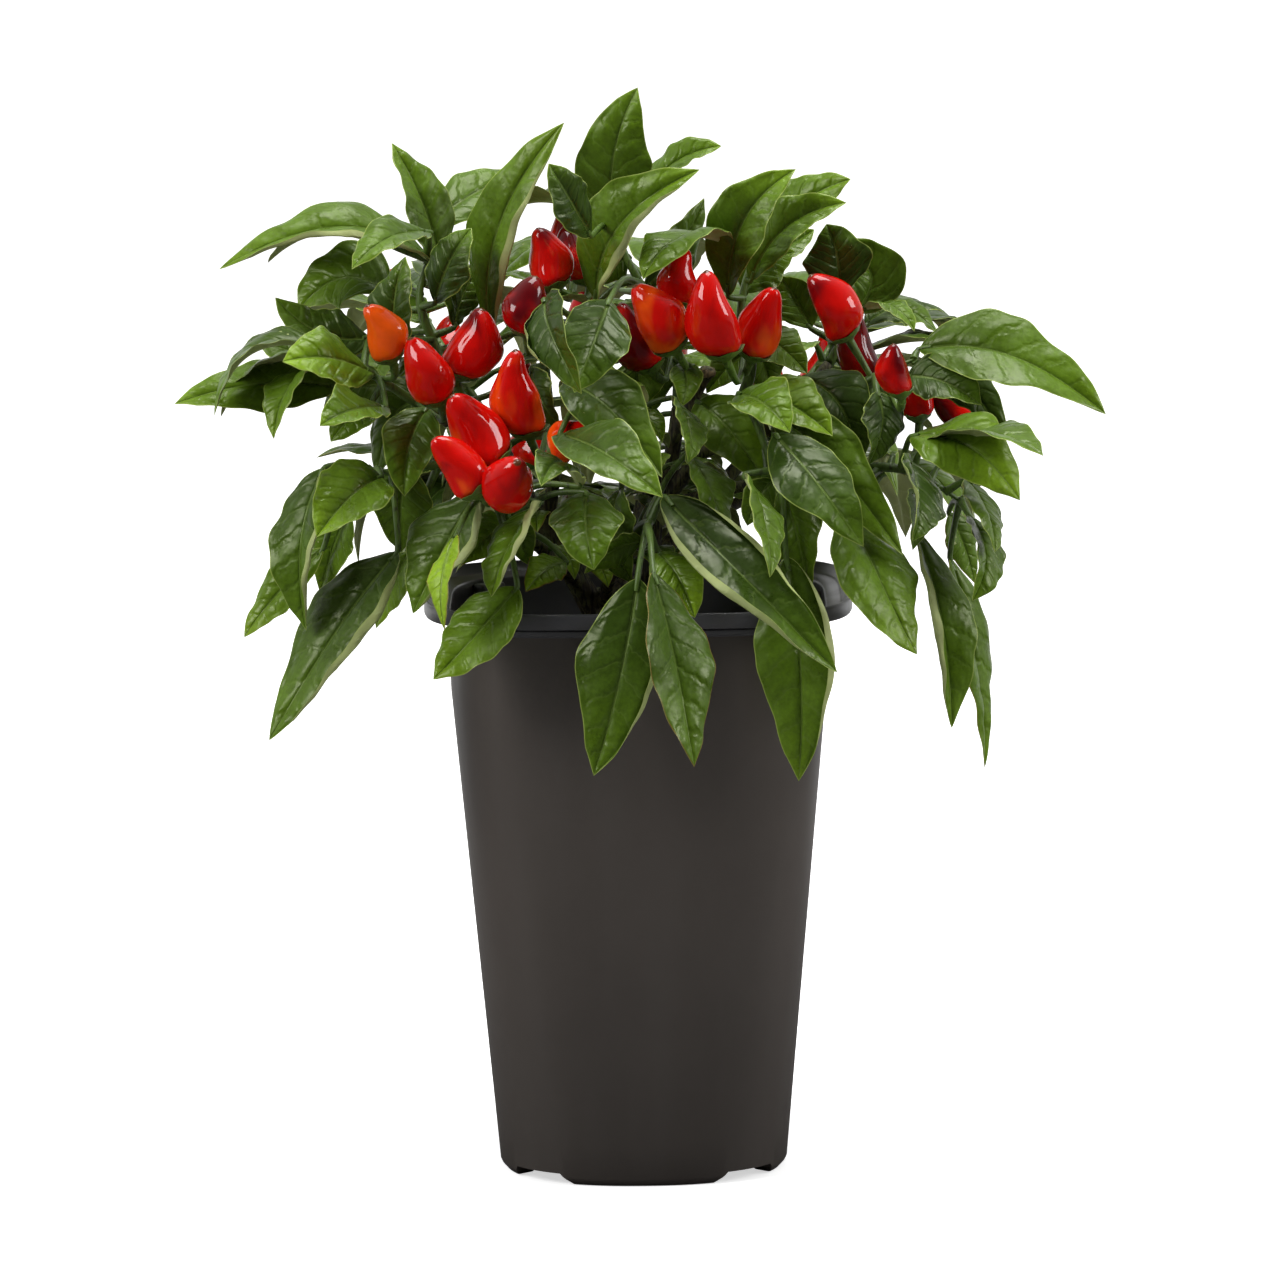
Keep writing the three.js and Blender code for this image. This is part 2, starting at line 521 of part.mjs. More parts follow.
function makeStems() {
  const solids = Object.entries(LIMBS).map(([name, row]) => {
    const sides = name === 'trunk' ? TRUNK_SIDES : LIMB_SIDES;
    return tube(placesOf(row), radiiOf(row), sides);
  });
  STUBS.forEach((row) => solids.push(tube(placesOf(row), radiiOf(row), LIMB_SIDES)));
  return fuse(solids);
}

// Each leafy stem goes on where its limb ends, in the same direction, a small gap further
function shootLine(name) {
  const limb = placesOf(LIMBS[name]);
  const end = limb[limb.length - 1];
  const direction = end.clone().sub(limb[limb.length - 2]).normalize();
  const start = end.clone().addScaledVector(direction, GAP);
  const limbRadii = radiiOf(LIMBS[name]);
  return {
    name,
    direction,
    places: [start, ...placesOf(SHOOTS[name])],
    radii: [limbRadii[limbRadii.length - 1] * SHOOT_START_SHARE, ...radiiOf(SHOOTS[name])],
  };
}

function nearestOn(line, point) {
  let best = null;
  for (let k = 0; k + 1 < line.places.length; k += 1) {
    const from = line.places[k].clone();
    if (k === 0) from.addScaledVector(line.direction, CUT_END_MARGIN);
    const span = new THREE.Line3(from, line.places[k + 1]);
    const place = span.closestPointToPoint(point, true, new THREE.Vector3());
    const distance = place.distanceTo(point);
    if (!best || distance < best.distance) best = { place, distance };
  }
  return best.place;
}

// Leaves

const LOOKS = {
  F: new THREE.Vector3(0, -1, 0),
  B: new THREE.Vector3(0, 1, 0),
  U: new THREE.Vector3(0, 0, 1),
  D: new THREE.Vector3(0, 0, -1),
  L: new THREE.Vector3(-1, 0, 0),
  R: new THREE.Vector3(1, 0, 0),
};

function faceFrom(letters) {
  return [...letters].reduce((sum, letter) => sum.add(LOOKS[letter]), new THREE.Vector3());
}

// A leaf's own fold, curl, wave and twist
function habit(draw) {
  return {
    fold: THREE.MathUtils.degToRad(between(...HABIT.foldDegrees, draw())),
    curl: between(...HABIT.curl, draw()),
    wave: between(...HABIT.wave, draw()),
    phase: 2 * Math.PI * draw(),
    twist: THREE.MathUtils.degToRad(between(...HABIT.twistDegrees, draw())),
  };
}

// The midrib is one arc through root, middle and tip, in one plane
function midrib(leaf, t) {
  const bend = leaf.middle.clone().multiplyScalar(2)
    .addScaledVector(leaf.root, -0.5)
    .addScaledVector(leaf.tip, -0.5);
  const place = leaf.root.clone().multiplyScalar((1 - t) ** 2)
    .addScaledVector(bend, 2 * t * (1 - t))
    .addScaledVector(leaf.tip, t ** 2);
  const along = bend.clone().sub(leaf.root).multiplyScalar(1 - t)
    .addScaledVector(leaf.tip.clone().sub(bend), t)
    .normalize();
  return { place, along };
}

function withFrame(leaf) {
  const ends = [midrib(leaf, 0).along, midrib(leaf, 1).along];
  const plane = ends[0].clone().cross(ends[1]);
  const along = midrib(leaf, 0.5).along;
  if (plane.length() < STRAIGHT_RIB) plane.copy(along).cross(leaf.face);
  plane.normalize();
  const level = plane.clone().cross(along);
  return { ...leaf, plane, lean: Math.atan2(leaf.face.dot(plane), leaf.face.dot(level)) };
}

// Half the blade's width as a share of its widest, from root to tip
function outline(t) {
  return (t / WIDEST_AT) ** ROOT_POWER * ((1 - t) / (1 - WIDEST_AT)) ** TIP_POWER;
}

// A point of the blade's middle surface: t from root to tip, side from -1 to 1
function bladePoint(leaf, t, side) {
  const { place, along } = midrib(leaf, t);
  const lean = leaf.lean + leaf.twist * (t - 0.5);
  const level = leaf.plane.clone().cross(along);
  const normal = level.multiplyScalar(Math.cos(lean)).addScaledVector(leaf.plane, Math.sin(lean));
  const across = along.clone().cross(normal);
  const half = 0.5 * leaf.width * outline(t);
  const out = Math.abs(side);
  const wavePlace = WAVE_TURNS * t + leaf.phase + (side > 0 ? WAVE_OFFSET : 0);
  const ripple = leaf.wave * leaf.width * out * Math.sin(wavePlace) * outline(t);
  const lift = half * (out * Math.sin(leaf.fold) - out * out * leaf.curl) + ripple;
  return {
    place: place.addScaledVector(across, side * half * Math.cos(leaf.fold)).addScaledVector(normal, lift),
    normal,
  };
}

// The stalk bows a little upwards between the stem and the blade
function stalkPlaces(leaf, line) {
  const foot = nearestOn(line, leaf.root);
  const length = foot.distanceTo(leaf.root);
  if (length < SHORT_STALK) return [foot, leaf.root.clone()];
  const middle = foot.clone().lerp(leaf.root, STALK_BOW.at);
  middle.z += STALK_BOW.rise * length;
  return [foot, middle, leaf.root.clone()];
}

// A leaf is one closed skin: a three-sided stalk that opens into a thin blade, three points across
function leafSolid(leaf, line) {
  const places = [];
  const faces = [];
  const add = (p) => {
    places.push(p.x, p.y, p.z);
    return places.length / 3 - 1;
  };
  const both = (point) => {
    const [top, under] = [0.5, -0.5].map((share) => (
      add(point.place.clone().addScaledVector(point.normal, share * BLADE_THICK))));
    return { top, under };
  };
  const tile = (a, b, c) => faces.push(a.top, b.top, c.top, a.under, c.under, b.under);
  const wall = (a, b) => faces.push(a.top, a.under, b.under, a.top, b.under, b.top);

  // Stalk rings run left, under, right: the stalk is flat on top and keeled below
  const stalk = stalkPlaces(leaf, line);
  const rootNormal = bladePoint(leaf, 0, 0).normal;
  const beyond = [...stalk, stalk[stalk.length - 1].clone().add(midrib(leaf, 0).along)];
  const rings = stalk.map((place, k) => {
    const ahead = beyond[k + 1].clone().sub(place).normalize();
    const back = k > 0 ? place.clone().sub(stalk[k - 1]).normalize() : ahead;
    const way = ahead.add(back).normalize();
    const up = rootNormal.clone().addScaledVector(way, -rootNormal.dot(way)).normalize();
    const right = way.clone().cross(up);
    return STALK_SECTION.map(([sideways, upwards]) => add(place.clone()
      .addScaledVector(right, sideways * STALK_RADIUS)
      .addScaledVector(up, upwards * STALK_RADIUS)));
  });
  faces.push(rings[0][0], rings[0][1], rings[0][2]);
  for (let k = 0; k + 1 < rings.length; k += 1) {
    for (let i = 0; i < 3; i += 1) {
      const next = (i + 1) % 3;
      faces.push(rings[k][i], rings[k + 1][next], rings[k][next]);
      faces.push(rings[k][i], rings[k + 1][i], rings[k + 1][next]);
    }
  }

  const stations = leaf.root.distanceTo(leaf.tip) > LONG_BLADE ? LONG_STATIONS : SHORT_STATIONS;
  const grid = stations.map((t) => [-1, 0, 1].map((side) => both(bladePoint(leaf, t, side))));
  const tip = both(bladePoint(leaf, 1, 0));
  const [left, under, right] = rings[rings.length - 1];
  const first = grid[0];
  faces.push(first[0].top, first[0].under, left);
  faces.push(left, right, first[1].top, left, first[1].top, first[0].top);
  faces.push(right, first[2].top, first[1].top);
  faces.push(right, first[2].under, first[2].top);
  faces.push(left, first[1].under, under, left, first[0].under, first[1].under);
  faces.push(under, first[1].under, right, right, first[1].under, first[2].under);
  for (let k = 0; k + 1 < grid.length; k += 1) {
    const [low, high] = [grid[k], grid[k + 1]];
    tile(low[0], low[1], high[0]);
    tile(low[1], high[1], high[0]);
    tile(low[1], low[2], high[2]);
    tile(low[1], high[2], high[1]);
    wall(high[0], low[0]);
    wall(low[2], high[2]);
  }
  const last = grid[grid.length - 1];
  tile(last[0], last[1], tip);
  tile(last[1], last[2], tip);
  wall(tip, last[0]);
  wall(last[2], tip);
  const geometry = new THREE.BufferGeometry();
  geometry.setAttribute('position', new THREE.Float32BufferAttribute(places, 3));
  geometry.setIndex(faces);
  return solidFrom(geometry);
}

// Room: leaves keep clear of all that other leafy stems, fruits and the pot take up

const taken = [];

function take(owner, place, radius, woody = false) {
  taken.push({ owner, place, radius, woody });
}

function takeLine(owner, places, radii) {
  for (let k = 0; k + 1 < places.length; k += 1) {
    const steps = Math.max(1, Math.ceil(places[k].distanceTo(places[k + 1]) / SAMPLE_STEP));
    for (let i = 0; i <= steps; i += 1) {
      const share = i / steps;
      const place = places[k].clone().lerp(places[k + 1], share);
      take(owner, place, between(radii[k], radii[k + 1], share), true);
    }
  }
}

function leafSamples(leaf, line) {
  const samples = [];
  for (let i = 0; i < SHY_ROWS; i += 1) {
    const t = Math.min(between(SHY_START, 1, i / (SHY_ROWS - 1)), 1);
    SHY_COLUMNS.forEach((side) => {
      samples.push({ place: bladePoint(leaf, t, side).place, radius: SHY_RADIUS });
    });
  }
  const stalk = stalkPlaces(leaf, line);
  for (let k = 0; k + 1 < stalk.length; k += 1) {
    for (let i = 0; i < STALK_SAMPLES; i += 1) {
      const place = stalk[k].clone().lerp(stalk[k + 1], i / STALK_SAMPLES);
      samples.push({ place, radius: STALK_SHY_RADIUS });
    }
  }
  return samples;
}

function touchesPot(place, radius) {
  const reach = RIM_HALF + radius + SHY_POT;
  const [x, y] = [place.x, place.y].map((v) => (Math.abs(v) / reach) ** SHY_POT_POWER);
  return x + y < 1 && place.z < POT_HEIGHT + radius + SHY_POT;
}

// How much a leaf would touch: its own stem doesn't count, its own stem's leaves count little, and what
// others own counts so much that the leaf can't stay there
function crowding(owner, samples) {
  let count = 0;
  samples.forEach(({ place, radius }) => {
    if (touchesPot(place, radius)) count += OTHERS_COUNT;
    taken.forEach((other) => {
      if (other.owner === owner && other.woody) return;
      const room = radius + other.radius;
      const dx = place.x - other.place.x;
      const dy = place.y - other.place.y;
      const dz = place.z - other.place.z;
      const near = dx * dx + dy * dy + dz * dz < room * room;
      if (near) count += other.owner === owner ? 1 : OTHERS_COUNT;
    });
  });
  return count;
}

// Places a leaf the first clear way of several; gives null if none is clear
function settle(owner, line, ways) {
  let best = null;
  for (const way of ways) {
    const leaf = way();
    const samples = leafSamples(leaf, line);
    const count = crowding(owner, samples);
    if (!best || count < best.count) best = { leaf, samples, count };
    if (count < 2) break;
  }
  if (best.count >= OTHERS_COUNT) return null;
  best.samples.forEach(({ place, radius }) => take(owner, place, radius));
  return best.leaf;
}

const DEPTH_SHIFTS = [0, 5, -5, 10, -10, 16, -16, 22, -22, 29, -29, 36, -36, 44, -44];
const ROOT_SLIDE = 0.5;         // the root and the middle slide less than the tip
const MIDDLE_SLIDE = 0.8;

// A leaf that shows from the front slides only towards or away from the eye, so that it looks the same
function shownLeaf(row, own, shift) {
  const [rx, ru, rd, mx, mu, md, tx, tu, td, width, letters] = row;
  return withFrame({
    root: seen(rx, ru, rd + ROOT_SLIDE * shift),
    middle: seen(mx, mu, md + MIDDLE_SLIDE * shift),
    tip: seen(tx, tu, td + shift),
    width: FOLD_ALLOWANCE * width,
    face: faceFrom(letters),
    ...own,
  });
}

// How high a grown leaf's middle and tip lie and how far its tip reaches, as shares of its length
const ARCH = { upright: 0.16, hanging: -0.14 };
const REACH = { upright: 0.9, hanging: 0.585 };
const TIP_RISE = { upright: 0.1, hanging: -0.75 };
const FACE_OUTWARDS = 0.35;
const DROOP = [0.15, 0.75];
const SPREAD_SHARE = 0.72;      // how much of the full circle round its stem a grown leaf may point to
const TURN_SWINGS = [0, 14, -14, 28, -28, 42, -42, 58, -58, 76, -76, 96, -96];
const DROOP_SWINGS = [0, 0.25, -0.25, 0.5];

// A leaf that grows by rule leaves its stem outwards, arches over and droops
function grownLeaf(foot, turn, droop, length, stalk, own) {
  const out = new THREE.Vector3(Math.cos(turn), Math.sin(turn), 0);
  const root = foot.clone().addScaledVector(out, 0.8 * stalk);
  root.z += 0.6 * stalk;
  const middle = root.clone().addScaledVector(out, 0.48 * length);
  middle.z += length * between(ARCH.upright, ARCH.hanging, droop);
  const tip = root.clone().addScaledVector(out, length * between(REACH.upright, REACH.hanging, droop));
  tip.z += length * between(TIP_RISE.upright, TIP_RISE.hanging, droop);
  const face = out.clone().multiplyScalar(FACE_OUTWARDS).setZ(1);
  return withFrame({ root, middle, tip, width: GROWN_WIDTH_SHARE * length, face, ...own });
}

function growLeaves(name, line, count, draw) {
  const leaves = [];
  const end = line.places[line.places.length - 1];
  const outward = Math.atan2(end.y, end.x);
  for (let k = 0; k < count; k += 1) {
    const share = (k + 0.7) / count;
    const whole = share * (line.places.length - 1);
    const from = Math.min(Math.floor(whole), line.places.length - 2);
    const foot = line.places[from].clone().lerp(line.places[from + 1], whole - from);
    const swing = SPREAD_SHARE * (((k * GOLDEN_ANGLE) % (2 * Math.PI)) - Math.PI);
    const length = between(...GROWN_LENGTH, draw());
    const stalk = between(...GROWN_STALK, draw());
    const droop = between(...DROOP, draw());
    const own = habit(draw);
    const ways = DROOP_SWINGS.flatMap((sag) => TURN_SWINGS.map((degrees) => () => {
      const turn = outward + swing + THREE.MathUtils.degToRad(degrees);
      return grownLeaf(foot, turn, Math.min(Math.max(droop + sag, 0), 1), length, stalk, own);
    }));
    const leaf = BARE_PLACES[name]?.includes(k) ? null : settle(name, line, ways);
    if (leaf) leaves.push(leaf);
  }
  return leaves;
}

// Fruits

function fruitAxis([, bx, bu, bd, tx, tu, td, width]) {
  const base = seen(bx, bu, bd);
  const tip = seen(tx, tu, td);
  const along = tip.clone().sub(base).normalize();
  return { base, tip, along, length: base.distanceTo(tip), radius: width / 2 };
}

function fruitSolid(fruit) {
  const { base, tip, along, length, radius } = fruit;
  const places = FRUIT_PROFILE.map(([share]) => base.clone().addScaledVector(along, share * length));
  const rings = ringsAbout(places, along, FRUIT_PROFILE.map(([, share]) => share * radius), FRUIT_SIDES);
  return solidFrom(loft([...rings, [tip]]));
}

function ringsAbout(places, along, radii, sides) {
  const guide = guideFor(along);
  const side = guide.addScaledVector(along, -guide.dot(along)).normalize();
  const other = along.clone().cross(side);
  return places.map((place, k) => Array.from({ length: sides }, (_, i) => {
    const turn = (2 * Math.PI * i) / sides;
    return place.clone()
      .addScaledVector(side, radii[k] * Math.cos(turn))
      .addScaledVector(other, radii[k] * Math.sin(turn));
  }));
}

// The stalk that carries a fruit opens into the green cup under it
function calyxParts(fruit, line) {
  const under = fruit.base.clone().addScaledVector(fruit.along, -GAP);
  const low = under.clone().addScaledVector(fruit.along, -CALYX_HEIGHT);
  const foot = nearestOn(line, low);
  const bow = low.clone().addScaledVector(fruit.along, -0.35 * foot.distanceTo(low)).lerp(foot, 0.3);
  const places = [foot, bow, low, under];
  const radii = [PEDICEL_RADIUS, PEDICEL_RADIUS, PEDICEL_FLARE, CALYX_SHARE * fruit.radius];
  return { solid: tube(places, radii, PEDICEL_SIDES), places, radii };
}

// Assembly

const plant = new THREE.Group();

function addPiece(name, solid, finish) {
  const mesh = new THREE.Mesh(geometryFrom(solid), new THREE.MeshStandardMaterial(finish));
  mesh.name = name;
  plant.add(mesh);
}

addPiece('pot', makePot(), FINISH.pot);
addPiece('soil', makeSoil(), FINISH.soil);
addPiece('stems', makeStems(), FINISH.stems);

const names = Object.keys(SHOOTS);
const lines = Object.fromEntries(names.map((name) => [name, shootLine(name)]));
const parts = Object.fromEntries(names.map((name) => {
  const { places, radii, direction } = lines[name];
  return [name, [tube(places, radii, LIMB_SIDES, direction)]];
}));

[...Object.values(LIMBS), ...STUBS].forEach((row) => takeLine('stems', placesOf(row), radiiOf(row)));
names.forEach((name) => takeLine(name, lines[name].places, lines[name].radii));

FRUITS.forEach((row, k) => {
  const name = `fruit_${String(k + 1).padStart(2, '0')}`;
  const fruit = fruitAxis(row);
  addPiece(name, fruitSolid(fruit), FINISH.fruit);
  FRUIT_ROOM.forEach(([share, thick]) => {
    const place = fruit.base.clone().addScaledVector(fruit.along, share * fruit.length);
    take(name, place, thick * fruit.radius + FRUIT_ROOM_MARGIN);
  });
  const { solid, places, radii } = calyxParts(fruit, lines[row[0]]);
  parts[row[0]].push(solid);
  takeLine(row[0], places, radii);
});

const draw = drawsFrom(LEAF_SEED);
const addLeaf = (name, leaf) => parts[name].push(leafSolid(leaf, lines[name]));

Object.entries(LEAVES).forEach(([name, rows]) => rows.forEach((row) => {
  const own = habit(draw);
  const leaf = settle(name, lines[name], DEPTH_SHIFTS.map((shift) => () => shownLeaf(row, own, shift)));
  if (leaf) addLeaf(name, leaf);
}));
Object.entries(GROWN_LEAVES).forEach(([name, count]) => {
  growLeaves(name, lines[name], count, draw).forEach((leaf) => addLeaf(name, leaf));
});

names.forEach((name) => addPiece(`shoot_${name}`, fuse(parts[name]), FINISH.shoot));

export default plant;
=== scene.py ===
# %% [markdown]
# # A potted chilli pepper plant
# The plain solids of the pot, the soil, the stems, the leafy stems and the fruits are loaded first, in
# metres. This lesson dresses them. It grows finer leaves along the same lines, lofts a smoother pot,
# scatters crumbs of peat on the soil, and builds a finish for each surface from shader nodes.

# %% Load the frame
import math

import bpy
import mathutils
import numpy as np
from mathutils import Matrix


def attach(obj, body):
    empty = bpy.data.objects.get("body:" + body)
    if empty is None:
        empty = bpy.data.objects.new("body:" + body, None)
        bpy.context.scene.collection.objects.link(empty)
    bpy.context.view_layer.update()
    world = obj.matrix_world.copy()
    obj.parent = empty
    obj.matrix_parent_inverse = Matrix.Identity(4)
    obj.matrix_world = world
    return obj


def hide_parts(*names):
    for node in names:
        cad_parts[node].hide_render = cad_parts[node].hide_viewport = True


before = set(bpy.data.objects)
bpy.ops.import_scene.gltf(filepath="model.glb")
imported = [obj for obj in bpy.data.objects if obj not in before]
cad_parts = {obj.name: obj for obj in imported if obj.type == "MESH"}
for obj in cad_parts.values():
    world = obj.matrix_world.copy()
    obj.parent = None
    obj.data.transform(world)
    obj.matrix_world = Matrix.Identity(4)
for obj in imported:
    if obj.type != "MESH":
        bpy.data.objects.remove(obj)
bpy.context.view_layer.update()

# %% [markdown]
# ## Camera
# The photograph was taken from a few metres away, a little above the plant, and tipped by about half a
# degree. From there the rim is seen flatter than the foot, and its near corners reach out furthest.

# %% Camera
CAMERA_LOOK_DOWN = math.radians(7.9)
CAMERA_TIP = math.radians(0.6)
CAMERA_DISTANCE = 4.0
VIEW_WIDTH = 0.5145
SENSOR_WIDTH = 36
VIEW_CENTRE = (0.0006, 0.2090)  # right of the pot's middle, and up the view
VIEW_END = 50  # metres from the camera

camera_data = bpy.data.cameras.new("camera")
camera_data.sensor_width = SENSOR_WIDTH
camera_data.lens = SENSOR_WIDTH * CAMERA_DISTANCE / VIEW_WIDTH
camera_data.clip_end = VIEW_END
camera = bpy.data.objects.new("camera", camera_data)
bpy.context.collection.objects.link(camera)
bpy.context.scene.camera = camera

to_camera = np.array([0, -math.cos(CAMERA_LOOK_DOWN), math.sin(CAMERA_LOOK_DOWN)])
level_right = np.array([1.0, 0, 0])
level_up = np.cross(to_camera, level_right)
right = level_right * math.cos(CAMERA_TIP) - level_up * math.sin(CAMERA_TIP)
up = level_up * math.cos(CAMERA_TIP) + level_right * math.sin(CAMERA_TIP)
place = level_right * VIEW_CENTRE[0] + level_up * VIEW_CENTRE[1] + to_camera * CAMERA_DISTANCE
turned = np.eye(4)
turned[:3, 0], turned[:3, 1], turned[:3, 2], turned[:3, 3] = right, up, to_camera, place
camera.matrix_world = mathutils.Matrix(turned.tolist())
print("lens:", round(camera_data.lens), "mm")

# %% [markdown]
# ## Helpers
# A node tree is long to write by hand. These helpers add one node with its values or links, and hand
# back what it puts out, so that each finish below reads as a recipe.

# %% Node helpers
WHITE = (1, 1, 1, 1)


def feed(tree, node, values):
    """Gives a node's inputs their values: numbers, colours, or sockets to link."""
    for key, value in values.items():
        if isinstance(value, bpy.types.NodeSocket):
            tree.links.new(value, node.inputs[key])
        else:
            node.inputs[key].default_value = value


def add_node(tree, kind, values=None, **settings):
    """A new node, with settings of its own and values for its inputs."""
    node = tree.nodes.new(kind)
    for key, value in settings.items():
        setattr(node, key, value)
    feed(tree, node, values or {})
    return node


def reckon(tree, operation, *terms):
    """What a Math node makes of numbers or sockets."""
    return add_node(tree, "ShaderNodeMath", dict(enumerate(terms)), operation=operation).outputs[0]


def fade(tree, value, start, end, low=0.0, high=1.0):
    """Low where value is at start, high where it is at end, smooth between."""
    values = {"Value": value, "From Min": start, "From Max": end, "To Min": low, "To Max": high}
    node = add_node(tree, "ShaderNodeMapRange", values, interpolation_type="SMOOTHSTEP")
    return node.outputs["Result"]


def mixed(tree, share, first, second, way="MIX"):
    """Two colours mixed, with more of the second as share grows."""
    values = {0: share, 6: first, 7: second}
    return add_node(tree, "ShaderNodeMix", values, data_type="RGBA", blend_type=way).outputs[2]


def dimmed(tree, colour, level):
    """The colour times a level: darker below one, lighter above."""
    grey = add_node(tree, "ShaderNodeCombineColor", {0: level, 1: level, 2: level}).outputs[0]
    return mixed(tree, 1.0, colour, grey, "MULTIPLY")


def own_place(tree):
    """Where a point lies on its piece, in metres."""
    return add_node(tree, "ShaderNodeTexCoord").outputs["Object"]


def drawn_out(tree, place, share):
    """Places squeezed along Z, so that a pattern read from them is drawn out upwards."""
    return add_node(tree, "ShaderNodeMapping", {"Vector": place, "Scale": (1.0, 1.0, share)}).outputs[0]


def noise(tree, place, scale, **values):
    """Soft noise between 0 and 1, finer as the scale grows."""
    values = {"Vector": place, "Scale": scale, **values}
    return add_node(tree, "ShaderNodeTexNoise", values).outputs["Fac"]


def bump(tree, height, strength, depth):
    """The normal of a surface with this relief, whose depth is in metres."""
    values = {"Strength": strength, "Distance": depth, "Height": height}
    return add_node(tree, "ShaderNodeBump", values).outputs["Normal"]


def attribute(tree, name):
    """The three numbers of a piece's own attribute."""
    node = add_node(tree, "ShaderNodeAttribute", attribute_name=name)
    return add_node(tree, "ShaderNodeSeparateXYZ", {0: node.outputs["Vector"]}).outputs


def new_group(name, kind, inputs, outputs):
    """An empty node group with named sockets: (tree, its inputs, a function that feeds its outputs)."""
    tree = bpy.data.node_groups.new(name, kind)
    for way, sockets in (("INPUT", inputs), ("OUTPUT", outputs)):
        for socket_name, socket_type in sockets.items():
            tree.interface.new_socket(socket_name, in_out=way, socket_type="NodeSocket" + socket_type)
    given = tree.nodes.new("NodeGroupInput").outputs
    result = tree.nodes.new("NodeGroupOutput")

    def put_out(**sockets):
        feed(tree, result, sockets)

    return tree, given, put_out


def use_group(tree, group, **values):
    """A shader group placed in a material, with this material's own values."""
    named = {key.replace("_", " "): value for key, value in values.items()}
    return add_node(tree, "ShaderNodeGroup", named, node_tree=group).outputs


def new_material(name):
    """A material with a Principled shader: (material, tree, shader node)."""
    material = bpy.data.materials.new(name)
    material.use_nodes = True
    tree = material.node_tree
    return material, tree, tree.nodes["Principled BSDF"]


# %% [markdown]
# Each piece is gathered as points, faces and attributes before it becomes a mesh. The points are in
# millimetres, like the tables of places below, and the mesh is in metres, with its object at the origin.

# %% Mesh helpers
MM = 0.001


def new_object(name, shape):
    """A new object of the scene that holds a mesh, a curve or a lamp."""
    holder = bpy.data.objects.new(name, shape)
    bpy.context.collection.objects.link(holder)
    return holder


class Skin:
    """Points, faces, materials and attributes gathered for one piece."""

    def __init__(self):
        self.points = []
        self.faces = []
        self.finishes = []
        self.marks = {}
        self.size = 0

    def add(self, points, faces, finish=0, **marks):
        points = np.asarray(points, float).reshape(-1, 3)
        self.points.append(points)
        self.faces.extend(tuple(int(i) + self.size for i in face) for face in faces)
        finishes = finish if isinstance(finish, list) else [finish] * len(faces)
        self.finishes.extend(finishes)
        for name, values in marks.items():
            self.marks.setdefault(name, []).append((self.size, np.asarray(values, float)))
        self.size += len(points)

    def mesh_object(self, name, materials, crease=None):
        mesh = bpy.data.meshes.new(name)
        mesh.from_pydata((np.concatenate(self.points) * MM).tolist(), [], self.faces)
        for material in materials:
            mesh.materials.append(material)
        mesh.polygons.foreach_set("material_index", self.finishes)
        mesh.polygons.foreach_set("use_smooth", [True] * len(self.faces))
        for mark, rows in self.marks.items():
            values = np.zeros((self.size, 3))
            for start, block in rows:
                values[start : start + len(block)] = block
            layer = mesh.attributes.new(mark, "FLOAT_VECTOR", "POINT")
            layer.data.foreach_set("vector", values.ravel())
        if crease is not None:
            mesh.set_sharp_from_angle(angle=math.radians(crease))
        mesh.update()
        return new_object(name, mesh)


def ring_faces(rings, sides):
    """Faces between rings of points that follow each other, and one wide face over each end."""
    faces = []
    for k in range(rings - 1):
        for i in range(sides):
            j = (i + 1) % sides
            low, high = k * sides, (k + 1) * sides
            faces.append((low + i, low + j, high + j, high + i))
    faces.append(tuple(reversed(range(sides))))
    faces.append(tuple((rings - 1) * sides + i for i in range(sides)))
    return faces


def plain_mesh(holder, name):
    """The holder's evaluated shape as a plain mesh object, with the holder itself removed."""
    shape = holder.evaluated_get(bpy.context.evaluated_depsgraph_get())
    piece = new_object(name, bpy.data.meshes.new_from_object(shape))
    bpy.data.objects.remove(holder)
    return piece


def through_tree(holder, name, tree, **values):
    """The plain mesh that a Geometry Nodes tree makes of the holder, with the tree's inputs set."""
    named = {key.replace("_", " "): value for key, value in values.items()}
    modifier = holder.modifiers.new("tree", "NODES")
    modifier.node_group = tree
    for socket in tree.interface.items_tree:
        if socket.name in named:
            modifier[socket.identifier] = named[socket.name]
    return plain_mesh(holder, name)


def finish_piece(piece, slot, *nodes):
    """Sets the piece on the plant's one body and hides the solids that it stands for; its slot is not
    used.
    """
    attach(piece, "root")
    if nodes:
        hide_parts(*nodes)


# %% [markdown]
# ## Shared effects
# Nothing on a plant is one flat colour. The first group makes a colour lighter and darker in soft
# patches. The second gives a fine relief. The third draws a leaf's veins, midrib and edge from the
# attributes that the leaf carries, and both faces of a leaf use it.

# %% Uneven tone
PATCH_SWING = 4.0  # noise seldom leaves its middle half, so its swing is made this much wider


def uneven_tone():
    tree, given, put_out = new_group(
        "uneven_tone",
        "ShaderNodeTree",
        {"Color": "Color", "Vector": "Vector", "Scale": "Float", "Amount": "Float"},
        {"Color": "Color", "Patches": "Float"},
    )
    patches = noise(tree, given["Vector"], given["Scale"], Detail=4.0, Roughness=0.6)
    swing = reckon(tree, "MULTIPLY", reckon(tree, "SUBTRACT", patches, 0.5), PATCH_SWING)
    level = reckon(tree, "ADD", 1.0, reckon(tree, "MULTIPLY", swing, given["Amount"]))
    put_out(Color=dimmed(tree, given["Color"], level), Patches=patches)
    return tree


uneven = uneven_tone()
print("group:", uneven.name)


# %% Fine relief
def fine_relief():
    tree, given, put_out = new_group(
        "fine_relief",
        "ShaderNodeTree",
        {"Vector": "Vector", "Scale": "Float", "Strength": "Float", "Depth": "Float"},
        {"Normal": "Vector"},
    )
    grains = noise(tree, given["Vector"], given["Scale"], Detail=5.0, Roughness=0.6)
    put_out(Normal=bump(tree, grains, given["Strength"], given["Depth"]))
    return tree


relief = fine_relief()
print("group:", relief.name)

